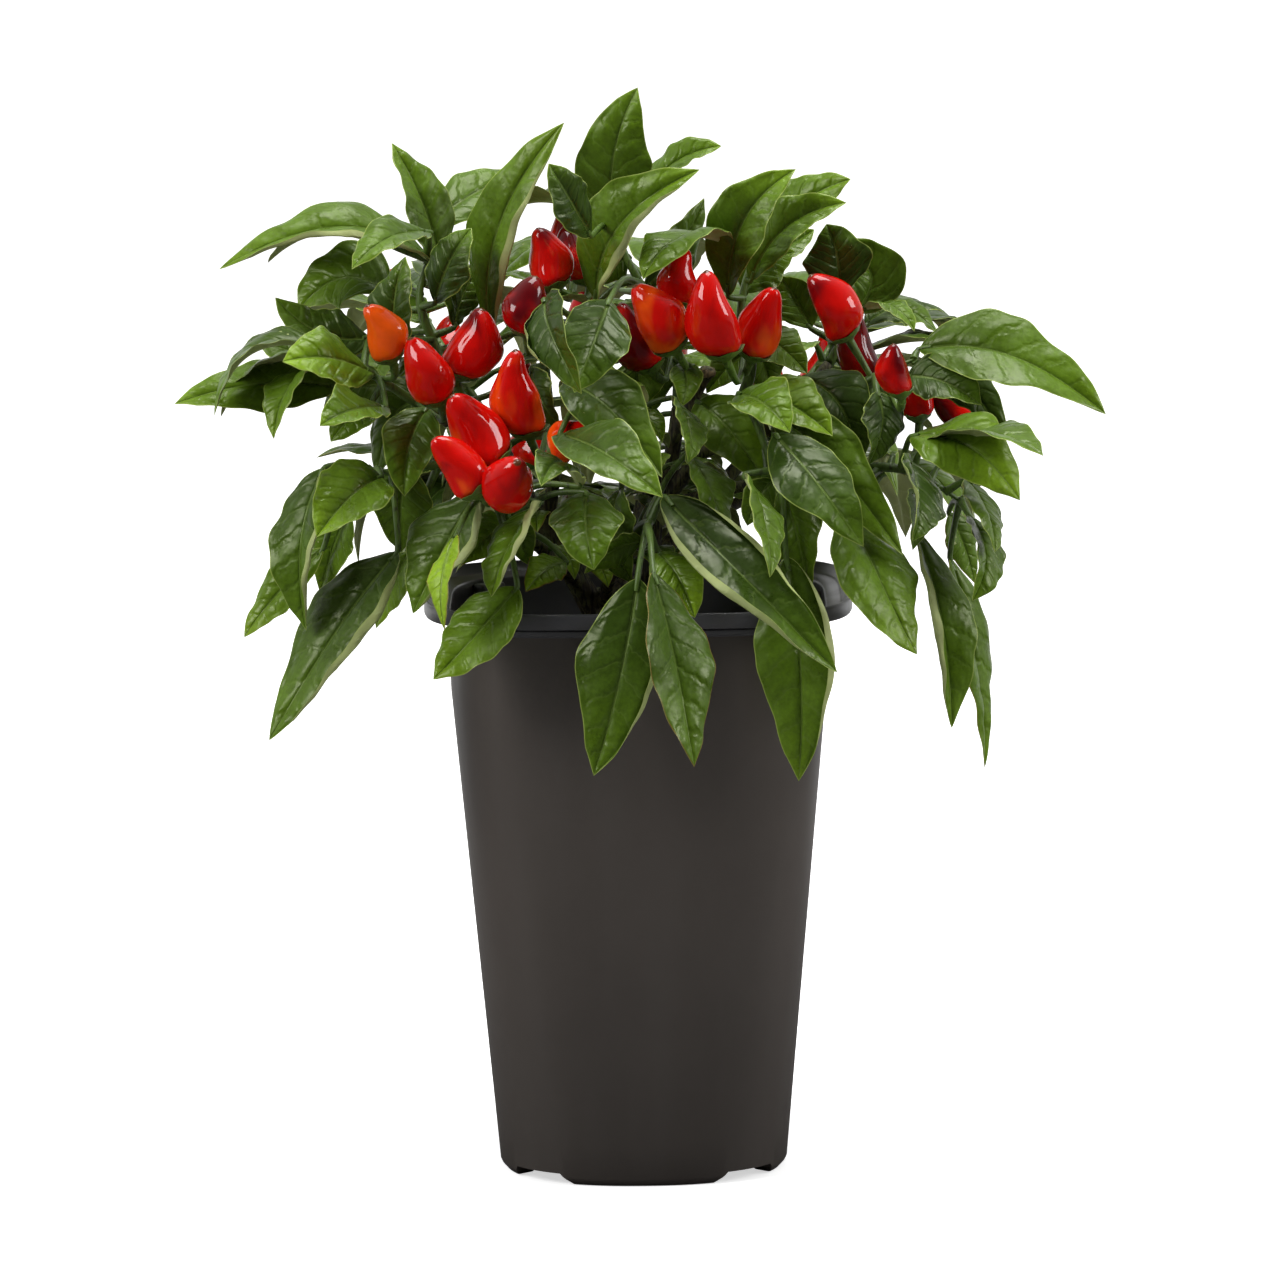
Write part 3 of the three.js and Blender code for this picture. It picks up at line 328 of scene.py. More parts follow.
# %% Blade pattern
# "blade" holds side, share of the length and vein count; "span" holds mm across, along and to the edge
VEIN_HALF_WIDTH = 0.06  # in shares of the room from one vein to the next
GROOVE_HALF_WIDTH = 0.2
VEIN_WOBBLE = 0.5
WOBBLE_SCALE = 0.16
VEINS_END = (0.6, 2.4)  # mm from the edge: veins gone, and veins whole
MIDRIB_HALF = 1.05  # mm at the root
MIDRIB_TAPER = -0.75
MIDRIB_FADE = (0.35, 1.0)
EDGE_FADE = (0.12, 0.55)  # mm from the edge: pale, and no longer pale
NET_CELLS_PER_MM = 0.42
NET_MIDDLE = 0.6
GROOVE_SHARE = 0.5


def leaf_veins(tree, count, to_edge):
    """Masks of the side veins and of the wider grooves that they lie in."""
    span = add_node(tree, "ShaderNodeAttribute", attribute_name="span").outputs["Vector"]
    wobble = noise(tree, span, WOBBLE_SCALE, Detail=2.0)
    bent_count = reckon(tree, "ADD", count, reckon(tree, "MULTIPLY", wobble, VEIN_WOBBLE))
    part_count = reckon(tree, "FRACT", bent_count)
    off_vein = reckon(tree, "ABSOLUTE", reckon(tree, "SUBTRACT", part_count, 0.5))
    reach = fade(tree, to_edge, *VEINS_END)
    return [
        reckon(tree, "MULTIPLY", fade(tree, off_vein, 0.0, half, 1.0, 0.0), reach)
        for half in (VEIN_HALF_WIDTH, GROOVE_HALF_WIDTH)
    ]


def leaf_pattern():
    tree, given, put_out = new_group(
        "blade_pattern",
        "ShaderNodeTree",
        {"Net": "Float"},
        {"Veins": "Float", "Midrib": "Float", "Edge": "Float", "Height": "Float"},
    )
    _, share, count = attribute(tree, "blade")
    across, along, to_edge = attribute(tree, "span")
    veins, grooves = leaf_veins(tree, count, to_edge)
    rib_half = reckon(tree, "MULTIPLY_ADD", share, MIDRIB_TAPER, MIDRIB_HALF)
    off_rib = reckon(tree, "DIVIDE", reckon(tree, "ABSOLUTE", across), rib_half)
    midrib_mask = fade(tree, off_rib, *MIDRIB_FADE, 1.0, 0.0)
    edge_mask = fade(tree, to_edge, *EDGE_FADE, 1.0, 0.0)
    net_place = add_node(tree, "ShaderNodeCombineXYZ", {0: across, 1: along}).outputs[0]
    net_values = {"Vector": net_place, "Scale": NET_CELLS_PER_MM, "Randomness": 0.9}
    net = add_node(tree, "ShaderNodeTexVoronoi", net_values, feature="SMOOTH_F1").outputs["Distance"]
    net_height = reckon(tree, "MULTIPLY", reckon(tree, "SUBTRACT", NET_MIDDLE, net), given["Net"])
    lines = reckon(tree, "MAXIMUM", grooves, midrib_mask)
    height = reckon(tree, "SUBTRACT", net_height, reckon(tree, "MULTIPLY", lines, GROOVE_SHARE))
    put_out(Veins=veins, Midrib=midrib_mask, Edge=edge_mask, Height=height)
    return tree


blade_pattern = leaf_pattern()
print("group:", blade_pattern.name)

# %% [markdown]
# ## Leaf finishes
# The upper face of a chilli leaf is smooth and waxy. Old leaves are dark green, young ones a bright
# yellow-green, and each gets lighter towards its tip, a painted glow of light shining through the thin
# blade.
# The underside is matt and pale. "tone" holds the leaf's youth, a number drawn for it, and how red its
# edge is.

# %% Upper face
OLD_GREEN = (0.027, 0.055, 0.006, 1)
MID_GREEN = (0.090, 0.166, 0.007, 1)
YOUNG_GREEN = (0.225, 0.370, 0.012, 1)
VEIN_GREEN = (0.150, 0.225, 0.045, 1)
EDGE_GREEN = (0.340, 0.430, 0.090, 1)
EDGE_RED = (0.210, 0.050, 0.020, 1)
WAXY_SHINE = (0.95, 1.0, 0.70, 1)
# painted light: the green grows lighter towards the tip, as if light shone through the thin blade
PAINTED_TIP_GLOW = 0.46
PAINTED_GLOW_AT_ROOT = -0.09
OLD_TO_MID = (0.0, 0.55)  # youth where the first colour is whole, and where the second is
MID_TO_YOUNG = (0.5, 1.15)
UPPER_LINES = {"Veins": 0.25, "Midrib": 0.6, "Edge": 0.8}
UPPER_ROUGHNESS = (0.27, 0.44)


def leaf_green(tree, youth, share):
    """The leaf's green, from its youth, with painted light shining through the blade towards its tip."""
    painted_tip_glow = reckon(tree, "MULTIPLY_ADD", reckon(tree, "POWER", share, 2.0), PAINTED_TIP_GLOW, PAINTED_GLOW_AT_ROOT)
    lit = reckon(tree, "ADD", youth, painted_tip_glow)
    first = mixed(tree, fade(tree, lit, *OLD_TO_MID), OLD_GREEN, MID_GREEN)
    return mixed(tree, fade(tree, lit, *MID_TO_YOUNG), first, YOUNG_GREEN)


def lined(tree, pattern, shares, ground, line_colour, edge_colour):
    """The ground colour with veins, midrib and edge over it, each as strong as its share."""
    colour = ground
    for part, share in shares.items():
        over = edge_colour if part == "Edge" else line_colour
        colour = mixed(tree, reckon(tree, "MULTIPLY", pattern[part], share), colour, over)
    return colour


def leaf_upper_material():
    material, tree, shader = new_material("leaf_upper")
    share = attribute(tree, "blade")[1]
    tone = attribute(tree, "tone")
    pattern = use_group(tree, blade_pattern, Net=0.45)
    place = own_place(tree)
    green = leaf_green(tree, tone[0], share)
    broad = use_group(tree, uneven, Color=green, Vector=place, Scale=70.0, Amount=0.28)
    patchy = use_group(tree, uneven, Color=broad["Color"], Vector=place, Scale=700.0, Amount=0.22)
    edge = mixed(tree, tone[2], EDGE_GREEN, EDGE_RED)
    feed(tree, shader, {
        "Base Color": lined(tree, pattern, UPPER_LINES, patchy["Color"], VEIN_GREEN, edge),
        "Roughness": fade(tree, broad["Patches"], 0.35, 0.7, *UPPER_ROUGHNESS),
        "Normal": bump(tree, pattern["Height"], strength=0.9, depth=0.0005),
        "Specular IOR Level": 0.34,
        "Specular Tint": WAXY_SHINE,
    })
    return material


# %% Underside
PALE_UNDER = (0.400, 0.450, 0.170, 1)
PALE_VEIN = (0.460, 0.520, 0.230, 1)
UNDER_LINES = {"Veins": 0.5, "Midrib": 0.8, "Edge": 0.6}
OLD_UNDER = 0.25  # share of darker green under an old leaf


def leaf_under_material():
    material, tree, shader = new_material("leaf_under")
    youth = attribute(tree, "tone")[0]
    pattern = use_group(tree, blade_pattern, Net=0.35)
    place = own_place(tree)
    patchy = use_group(tree, uneven, Color=PALE_UNDER, Vector=place, Scale=110.0, Amount=0.20)
    ground = mixed(tree, fade(tree, youth, 0.0, 0.6, OLD_UNDER, 0.0), patchy["Color"], MID_GREEN)
    raised = reckon(tree, "MULTIPLY", pattern["Height"], -1.0)
    feed(tree, shader, {
        "Base Color": lined(tree, pattern, UNDER_LINES, ground, PALE_VEIN, EDGE_GREEN),
        "Normal": bump(tree, raised, strength=0.5, depth=0.0004),
        "Roughness": 0.58,
    })
    return material


# %% [markdown]
# ## Stem, fruit, pot and soil finishes
# Leaf stalks and young stems are green with darker lines along them. The woody stems are dark, brown and
# green, and furrowed. Both read a noise that is stretched along the stem.

# %% Green stems
STALK_GREEN = (0.085, 0.150, 0.022, 1)
STALK_DARK = (0.030, 0.038, 0.012, 1)


def green_stem_material():
    material, tree, shader = new_material("green_stem")
    place = own_place(tree)
    streaks = noise(tree, drawn_out(tree, place, 0.12), 1100.0, Detail=3.0)
    streaked = mixed(tree, fade(tree, streaks, 0.5, 0.68, 0.0, 0.75), STALK_GREEN, STALK_DARK)
    patchy = use_group(tree, uneven, Color=streaked, Vector=place, Scale=60.0, Amount=0.35)
    feed(tree, shader, {
        "Base Color": patchy["Color"],
        "Normal": bump(tree, streaks, strength=0.4, depth=0.0004),
        "Roughness": 0.42,
    })
    return material


# %% Bark
BARK_BROWN = (0.085, 0.066, 0.032, 1)
BARK_GREEN = (0.120, 0.130, 0.045, 1)
BARK_FURROW = (0.012, 0.010, 0.006, 1)
SCAR_TAN = (0.330, 0.230, 0.120, 1)


def bark_material(name, first, second, furrow):
    material, tree, shader = new_material(name)
    place = own_place(tree)
    furrows = noise(tree, drawn_out(tree, place, 0.14), 800.0, Detail=5.0, Distortion=0.3)
    patches = use_group(tree, uneven, Color=first, Vector=place, Scale=140.0, Amount=0.35)
    two_tone = mixed(tree, fade(tree, patches["Patches"], 0.4, 0.62), patches["Color"], second)
    feed(tree, shader, {
        "Base Color": mixed(tree, fade(tree, furrows, 0.42, 0.55, 0.85, 0.0), two_tone, furrow),
        "Normal": bump(tree, furrows, strength=0.8, depth=0.0008),
        "Roughness": 0.68,
    })
    return material


# %% [markdown]
# A ripe chilli is one of the glossiest skins there is. It ripens unevenly: most are red, some still
# orange in patches, some almost black-red. "skin" holds the share of the length, the ripeness and a
# drawn number. A clear coat over a soft red gives the sharp window-like shine of the photograph.

# %% Fruit skin
CRIMSON = (0.100, 0.002, 0.004, 1)
RED = (0.600, 0.004, 0.002, 1)
ORANGE = (0.840, 0.095, 0.005, 1)
TIP_BROWN = (0.120, 0.040, 0.015, 1)
CRIMSON_TO_RED = (0.03, 0.45)  # ripening where the first colour is whole, and where the second is
RED_TO_ORANGE = (0.60, 0.98)
DRIED_TIP = (0.975, 0.99)  # share of the length where the brown speck starts, and where it is whole
PATCHY_RIPENING = 1.3
ORANGE_TOWARDS_CUP = 0.30


def fruit_material():
    material, tree, shader = new_material("pepper_skin")
    share, ripeness, _ = attribute(tree, "skin")
    place = own_place(tree)
    patches = noise(tree, drawn_out(tree, place, 0.55), 75.0, Detail=2.0, Distortion=0.6)
    low_down = reckon(tree, "MULTIPLY", reckon(tree, "SUBTRACT", 0.6, share), ORANGE_TOWARDS_CUP)
    patch = reckon(tree, "MULTIPLY_ADD", patches, PATCHY_RIPENING, -0.5 * PATCHY_RIPENING)
    state = reckon(tree, "ADD", reckon(tree, "ADD", ripeness, patch), low_down)
    first = mixed(tree, fade(tree, state, *CRIMSON_TO_RED), CRIMSON, RED)
    second = mixed(tree, fade(tree, state, *RED_TO_ORANGE), first, ORANGE)
    colour = mixed(tree, fade(tree, share, *DRIED_TIP), second, TIP_BROWN)
    patchy = use_group(tree, uneven, Color=colour, Vector=place, Scale=160.0, Amount=0.10)
    soft = use_group(tree, relief, Vector=place, Scale=180.0, Strength=0.10, Depth=0.0006)
    feed(tree, shader, {
        "Base Color": patchy["Color"],
        "Normal": soft["Normal"],
        "Roughness": 0.34,
        "Specular IOR Level": 0.0,
        "Coat Weight": 0.85,
        "Coat Roughness": 0.035,
    })
    return material


# %% [markdown]
# The pot is moulded from dark recycled plastic. Its wall is satin, with a fine grain and faint upright
# streaks where the plastic flowed, a little dust, and paler scuffs, and painted shade darkens it towards
# its foot.
# Its rim is smoother and shinier. Its grey is the plastic's, made bluer by a painted reflection.

# %% Pot plastic
POT_GREY = (0.082, 0.069, 0.060, 1)
# the plastic's grey, partly painted reflection: made bluer, like the sheen that the glossy rim reflects
RIM_GREY_AND_PAINTED_SHEEN = (0.072, 0.072, 0.078, 1)
POT_DUST = (0.100, 0.088, 0.078, 1)
FOOT_SHADE_HEIGHTS = (0.0, 0.15)  # metres up, from the darkest painted shade at the foot to where the wall has none
FOOT_SHADE_LEVEL = 0.74
FLOW_SHARE = 0.18
FLOW_ROUGHER = 0.08


def pot_material(name, grey, roughness, dust):
    material, tree, shader = new_material(name)
    place = own_place(tree)
    flow = noise(tree, drawn_out(tree, place, 0.06), 60.0, Detail=3.0)
    patchy = use_group(tree, uneven, Color=grey, Vector=place, Scale=30.0, Amount=0.04)
    flowed = mixed(tree, fade(tree, flow, 0.4, 0.75, 0.0, FLOW_SHARE), patchy["Color"], POT_DUST)
    specks = noise(tree, place, 700.0, Detail=6.0, Roughness=0.75)
    dusty = mixed(tree, fade(tree, specks, 0.60, 0.74, 0.0, dust), flowed, POT_DUST)
    # painted shade: the whole wall colour is darkened towards the foot, most at the floor
    height = add_node(tree, "ShaderNodeSeparateXYZ", {0: place}).outputs[2]
    grain = use_group(tree, relief, Vector=place, Scale=1400.0, Strength=0.12, Depth=0.0001)
    feed(tree, shader, {
        "Base Color": dimmed(tree, dusty, fade(tree, height, *FOOT_SHADE_HEIGHTS, FOOT_SHADE_LEVEL, 1.0)),
        "Roughness": fade(tree, flow, 0.35, 0.7, roughness, roughness + FLOW_ROUGHER),
        "Normal": grain["Normal"],
    })
    return material


# %% Soil
PEAT_DARK = (0.018, 0.010, 0.006, 1)
PEAT_BROWN = (0.085, 0.048, 0.026, 1)


def soil_material():
    material, tree, shader = new_material("peat")
    place = own_place(tree)
    patchy = use_group(tree, uneven, Color=PEAT_DARK, Vector=place, Scale=350.0, Amount=0.5)
    crumbly = use_group(tree, relief, Vector=place, Scale=1600.0, Strength=0.7, Depth=0.0006)
    feed(tree, shader, {
        "Base Color": mixed(tree, fade(tree, patchy["Patches"], 0.42, 0.68), patchy["Color"], PEAT_BROWN),
        "Normal": crumbly["Normal"],
        "Roughness": 0.95,
    })
    return material


# %% All finishes
FINISHES = {
    "leaf_upper": leaf_upper_material(),
    "leaf_under": leaf_under_material(),
    "green_stem": green_stem_material(),
    "bark": bark_material("bark", BARK_BROWN, BARK_GREEN, BARK_FURROW),
    "scar": bark_material("scar", SCAR_TAN, BARK_GREEN, BARK_BROWN),
    "pepper": fruit_material(),
    "pot_wall": pot_material("pot_wall", POT_GREY, 0.40, 0.35),
    "pot_rim": pot_material("pot_rim", RIM_GREY_AND_PAINTED_SHEEN, 0.30, 0.12),
    "peat": soil_material(),
}
print("finishes:", ", ".join(FINISHES))

# %% [markdown]
# ## Where everything grows
# A place on the plant is written as it is seen from the front: millimetres to the right, millimetres up
# the view, and millimetres behind the pot's middle. The tables are those of the solids, so that the fine
# pieces lie where the solids lie. Leaves also carry their youth, and on which sides their edge curls up.

# %% Woody limbs and pruned stubs, with the radius at each place
LIMBS = {
    "trunk": [[-13, 175, 3, 6.6], [-13, 206, 3, 6.3], [-14, 221, 1, 5.8], [-15, 229, 0, 4.6]],
    "left": [
        [-14, 214, 1, 5.2], [-23, 231, -3, 4.7], [-37, 254, -8, 4.1], [-50, 272, -12, 3.6],
        [-62, 288, -14, 3.2],
    ],
    "left_top": [[-61, 287, -14, 2.8], [-71, 303, -14, 2.5]],
    "left_out": [[-60, 285, -14, 2.7], [-78, 298, -26, 2.4]],
    "left_low": [[-49, 271, -12, 2.7], [-70, 276, -36, 2.3]],
    "left_back": [[-37, 254, -8, 3.0], [-46, 272, 14, 2.8], [-55, 289, 36, 2.5]],
    "centre_left": [[-36, 252, -8, 2.9], [-33, 274, -14, 2.6], [-34, 293, -17, 2.4]],
    "front_left": [[-23, 231, -3, 2.8], [-34, 241, -28, 2.6], [-45, 251, -46, 2.3]],
    "middle": [
        [-12, 212, 4, 4.3], [3, 232, 2, 3.6], [8, 262, -2, 3.3], [14, 282, -4, 3.1], [17, 301, -6, 2.8],
    ],
    "front_high": [[8, 262, -2, 2.6], [2, 275, -22, 2.4], [-4, 285, -36, 2.2]],
    "front_low": [[-14, 222, 0, 2.8], [-10, 236, -22, 2.6], [-2, 249, -40, 2.3]],
    "right": [[8, 260, -2, 3.2], [27, 284, -6, 3.0], [42, 303, -8, 2.7]],
    "right_out": [[26, 283, -6, 2.8], [48, 291, -12, 2.6], [66, 297, -16, 2.4]],
    "right_top": [[48, 291, -12, 2.4], [66, 305, 2, 2.3], [77, 318, 8, 2.1]],
    "right_far": [[48, 291, -12, 2.4], [70, 280, -18, 2.3], [90, 276, -22, 2.1]],
    "right_low": [[8, 261, -2, 2.6], [30, 266, -24, 2.5], [48, 270, -42, 2.3]],
    "back": [[-12, 214, 6, 4.2], [-6, 236, 26, 3.6], [2, 262, 44, 3.2], [4, 286, 58, 2.8]],
    "back_low": [[-6, 234, 26, 2.7], [4, 250, 52, 2.5], [10, 257, 70, 2.3]],
    "back_low_left": [[-7, 234, 24, 2.8], [-18, 250, 48, 2.6], [-28, 262, 66, 2.3]],
    "right_back": [[-4, 226, 8, 3.4], [20, 256, 24, 3.1], [47, 285, 38, 2.7]],
    "back_low_right": [[20, 255, 24, 2.7], [36, 262, 50, 2.5], [48, 268, 70, 2.3]],
}
STUBS = [
    [[14, 286, -5, 2.6], [26, 310, -14, 2.4], [28, 314, -15, 3.6], [28.5, 316, -15, 2.6]],
    [[32, 290, -7, 2.8], [43, 300, -20, 2.5], [45, 302, -23, 3.6], [46, 303, -25, 2.6]],
    [[-27, 237, -5, 2.6], [-19, 246, -10, 2.2], [-18, 248, -11, 2.8], [-17.5, 249, -12, 2.0]],
]

# %% Leafy stems
SHOOTS = {
    "left_top": [[-78, 322, -13, 2.1], [-85, 343, -12, 1.7], [-82, 360, -9, 1.3]],
    "left_out": [[-90, 305, -32, 1.9], [-101, 312, -38, 1.5], [-112, 317, -40, 1.1]],
    "left_low": [[-84, 278, -44, 1.8], [-96, 275, -50, 1.5], [-112, 278, -54, 1.1]],
    "left_back": [[-66, 308, 54, 2.1], [-78, 328, 70, 1.7], [-86, 344, 80, 1.2]],
    "centre_left": [[-36, 316, -18, 2.0], [-37, 338, -16, 1.6], [-33, 356, -17, 1.2]],
    "front_left": [[-50, 257, -56, 1.9], [-56, 262, -68, 1.5], [-60, 266, -76, 1.1]],
    "middle": [[16, 320, -8, 2.1], [6, 342, -12, 1.8], [-4, 362, -10, 1.4], [-6, 374, -8, 1.1]],
    "front_high": [[-12, 294, -44, 1.9], [-18, 304, -48, 1.5], [-14, 318, -46, 1.1]],
    "front_low": [[2, 253, -54, 1.9], [5, 254, -66, 1.5], [4, 252, -78, 1.1]],
    "right": [[46, 318, -10, 2.1], [42, 334, -10, 1.8], [44, 350, -8, 1.4], [50, 366, -2, 1.1]],
    "right_out": [[80, 304, -22, 2.0], [96, 312, -26, 1.6], [110, 318, -24, 1.1]],
    "right_top": [[83, 328, 8, 1.8], [88, 338, 2, 1.4], [86, 348, -2, 1.0]],
    "right_far": [[104, 275, -28, 1.8], [116, 270, -30, 1.5], [128, 262, -26, 1.1]],
    "right_low": [[54, 274, -54, 1.9], [56, 276, -62, 1.5], [56, 274, -70, 1.1]],
    "back": [[2, 310, 70, 2.2], [-2, 336, 78, 1.8], [2, 358, 81, 1.2]],
    "back_low": [[14, 259, 74, 1.9], [12, 260, 78, 1.5], [4, 258, 80, 1.1]],
    "back_low_left": [[-40, 265, 76, 1.9], [-56, 268, 83, 1.5], [-70, 266, 88, 1.1]],
    "right_back": [[62, 304, 54, 2.1], [76, 322, 68, 1.7], [84, 338, 78, 1.2]],
    "back_low_right": [[60, 270, 82, 1.9], [76, 270, 88, 1.5], [92, 266, 90, 1.1]],
}

# %% Leaves that show from the front
# root, middle and tip, width, where the upper face looks, youth, and the edges that curl up
LEAVES = {
    "front_low": [
        (0, 232, -94, -7, 194, -101, -18, 155, -103, 31, "F", 0.3, "R"),
        (6, 234, -100, 15, 196, -110, 21, 158, -112, 31, "FR", 0.35),
        (10, 264, -66, 41, 232, -102, 77, 194, -114, 32, "FU", 0.12, "LR"),
        (2, 246, -86, -9, 243, -99, -21, 234, -108, 18, "DF", 0.5),
        (8, 242, -90, 16, 232, -108, 22, 216, -116, 20, "FU", 0.95),
        (20, 281, -46, 29, 267, -62, 34, 249, -70, 22, "FR", 0.55),
    ],
    "front_left": [
        (-62, 268, -78, -75, 246, -92, -88, 219, -98, 34, "FL", 0.3, "R"),
        (-47, 229, -86, -63, 211, -95, -80, 193, -101, 28, "FL", 0.75),
        (-20, 266, -66, -20, 252, -88, -17, 235, -98, 26, "FU", 0.4),
        (-38, 262, -74, -50, 246, -98, -57, 225, -108, 24, "FL", 0.7, "R"),
        (-50, 254, -80, -58, 250, -96, -69, 238, -106, 18, "UF", 0.8),
        (-28, 239, -62, -36, 236, -68, -44, 227, -76, 14, "UF", 0.95),
        (-22, 268, -62, -30, 277, -74, -37, 267, -84, 18, "UF", 0.1),
    ],
    "right_low": [
        (58, 240, -80, 63, 197, -90, 62, 152, -90, 31, "F", 0.55, "R"),
        (54, 272, -72, 62, 249, -92, 66, 225, -98, 26, "FL", 0.6),
        (54, 288, -60, 70, 269, -82, 88, 243, -92, 26, "UF", 0.1),
        (55, 297, -44, 78, 275, -66, 104, 240, -76, 26, "UF", 0.5),
        (24, 302, -40, 38, 289, -60, 54, 264, -70, 24, "UF", 0.7),
        (40, 304, -44, 50, 300, -62, 60, 288, -70, 22, "UF", 0.6),
        (42, 272, -56, 50, 253, -72, 51, 231, -80, 18, "RF", 0.5),
        (46, 305, -30, 61, 300, -46, 77, 287, -54, 24, "UF", 0.75),
    ],
    "left_low": [
        (-94, 244, -60, -119, 212, -74, -145, 170, -80, 34, "FL", 0.3, "R"),
        (-122, 277, -58, -132, 248, -68, -130, 213, -68, 26, "FL", 0.35, "R"),
        (-100, 273, -56, -112, 265, -70, -125, 249, -78, 28, "FU", 0.8),
        (-90, 278, -60, -93, 262, -72, -93, 244, -76, 22, "F", 0.45),
        (-82, 300, -52, -89, 285, -70, -91, 265, -78, 22, "F", 0.4),
        (-124, 246, -36, -143, 228, -40, -156, 211, -42, 16, "LF", 0.9),
        (-90, 244, -44, -98, 230, -50, -104, 214, -52, 16, "FL", 0.9),
    ],
    "left_out": [
        (-116, 309, -32, -148, 311, -36, -182, 303, -36, 24, "FU", 0.6),
        (-105, 329, -26, -124, 331, -34, -142, 345, -34, 22, "UF", 0.2),
        (-103, 314, -42, -120, 320, -54, -138, 318, -60, 26, "UF", 0.9),
        (-100, 310, -48, -112, 309, -60, -124, 299, -66, 22, "FU", 0.6),
        (-98, 300, -42, -110, 299, -56, -123, 292, -62, 20, "FU", 0.6),
        (-82, 303, -44, -96, 298, -58, -103, 273, -66, 24, "LF", 0.35),
        (-126, 318, -24, -137, 308, -30, -142, 288, -32, 18, "LF", 0.7),
    ],
    "left_top": [
        (-80, 359, -12, -116, 373, -20, -164, 356, -26, 28, "UUF", 0.55, "D"),
        (-77, 358, -14, -84, 384, -24, -96, 407, -26, 22, "FR", 0.5),
        (-105, 325, -8, -126, 323, -10, -151, 330, -4, 24, "FU", 0.15),
        (-94, 322, -28, -95, 342, -36, -90, 360, -34, 22, "FL", 0.1),
        (-79, 342, -24, -73, 358, -32, -64, 371, -30, 20, "FL", 0.15),
        (-80, 369, -16, -96, 366, -28, -110, 353, -34, 20, "UUF", 0.5),
        (-84, 372, 0, -62, 390, 10, -40, 397, 14, 20, "FU", 0.5),
        (-98, 348, 4, -117, 354, 16, -134, 341, 18, 30, "UF", 0.55),
        (-72, 333, -26, -68, 346, -32, -62, 357, -32, 16, "RF", 0.3),
    ],
    "centre_left": [
        (-57, 328, -8, -54, 371, -24, -27, 412, -28, 28, "FL", 0.6, "R"),
        (-41, 316, -30, -38, 304, -40, -30, 292, -44, 16, "FL", 0.2),
    ],
    "middle": [
        (-8, 368, -10, -8, 398, -20, 2, 426, -18, 26, "F", 0.45),
        (-15, 342, -24, -6, 371, -42, 26, 392, -46, 30, "FU", 0.6, "R"),
        (-10, 341, -60, -16, 324, -78, -24, 304, -88, 24, "F", 0.2),
        (4, 348, -16, 18, 364, -22, 28, 384, -20, 18, "RF", 0.2),
        (-17, 366, -34, -25, 380, -40, -33, 393, -36, 18, "FR", 0.1),
        (2, 385, 0, 18, 399, 4, 35, 404, 4, 18, "UUF", 0.6),
        (0, 320, -34, 1, 311, -46, 0, 300, -50, 20, "F", 0.4),
    ],
    "front_high": [
        (-35, 341, -60, -33, 327, -76, -21, 303, -84, 26, "FL", 0.05, "L"),
        (-28, 309, -50, -10, 298, -72, 10, 271, -80, 26, "UF", 0.25),
        (-30, 288, -60, -12, 280, -84, 10, 262, -94, 26, "UF", 0.3),
        (14, 303, -42, 21, 291, -54, 20, 277, -58, 16, "FR", 0.4),
        (-6, 268, -58, -10, 250, -74, -2, 230, -80, 24, "FL", 0.4),
    ],
    "right": [
        (37, 344, -14, 43, 373, -26, 64, 393, -24, 24, "FU", 0.6),
        (44, 346, -20, 51, 357, -34, 64, 362, -40, 24, "FU", 0.6),
        (46, 350, -4, 60, 371, -8, 84, 380, -8, 22, "UF", 0.6),
        (48, 368, 4, 66, 382, 8, 86, 390, 6, 22, "FU", 0.65),
    ],
    "right_top": [
        (81, 345, -8, 80, 359, -16, 76, 372, -14, 24, "F", 0.1),
        (88, 338, -14, 94, 354, -24, 80, 366, -28, 24, "FU", 0.5),
        (92, 333, -8, 106, 340, -16, 121, 330, -20, 22, "UUF", 0.3),
        (70, 332, 12, 64, 344, 16, 58, 353, 16, 18, "F", 0.6),
    ],
    "right_out": [
        (112, 322, -20, 148, 319, -34, 185, 295, -40, 32, "FU", 0.5),
        (64, 311, -36, 80, 301, -56, 88, 275, -64, 26, "FU", 0.0),
        (95, 305, -50, 97, 291, -66, 91, 276, -72, 22, "FR", 0.1),
        (107, 311, -30, 121, 309, -40, 136, 299, -46, 22, "UF", 0.1),
        (114, 312, -18, 133, 305, -24, 145, 283, -28, 18, "UF", 0.1),
    ],
    "right_far": [
        (84, 258, -56, 95, 231, -84, 109, 201, -92, 37, "FR", 0.75),
        (110, 250, -38, 120, 213, -54, 123, 172, -56, 26, "FR", 0.5, "L"),
        (108, 287, -38, 130, 283, -54, 150, 261, -60, 30, "UF", 0.85),
        (106, 278, -46, 110, 262, -62, 107, 245, -66, 26, "FR", 0.1),
        (124, 240, -14, 134, 199, -22, 137, 156, -24, 24, "RRF", 0.6),
        (131, 256, -26, 137, 240, -38, 131, 222, -42, 22, "FR", 0.5),
        (130, 270, -16, 138, 257, -20, 140, 241, -22, 20, "FR", 0.5),
        (137, 305, -8, 147, 292, -14, 149, 275, -16, 18, "RF", 0.3),
        (140, 298, -24, 148, 289, -32, 149, 276, -34, 16, "FL", 0.8),
    ],
}
GROWN_LEAVES = {
    "left_back": 10,
    "back": 11,
    "right_back": 10,
    "back_low": 8,
    "back_low_left": 8,
    "back_low_right": 8,
    "left_top": 3,
    "right_top": 3,
    "right": 2,
    "middle": 2,
    "left_out": 3,
    "right_far": 2,
}
BARE_PLACES = {"right_top": (0, 1, 2), "right_far": (1,)}  # no leaf grows there

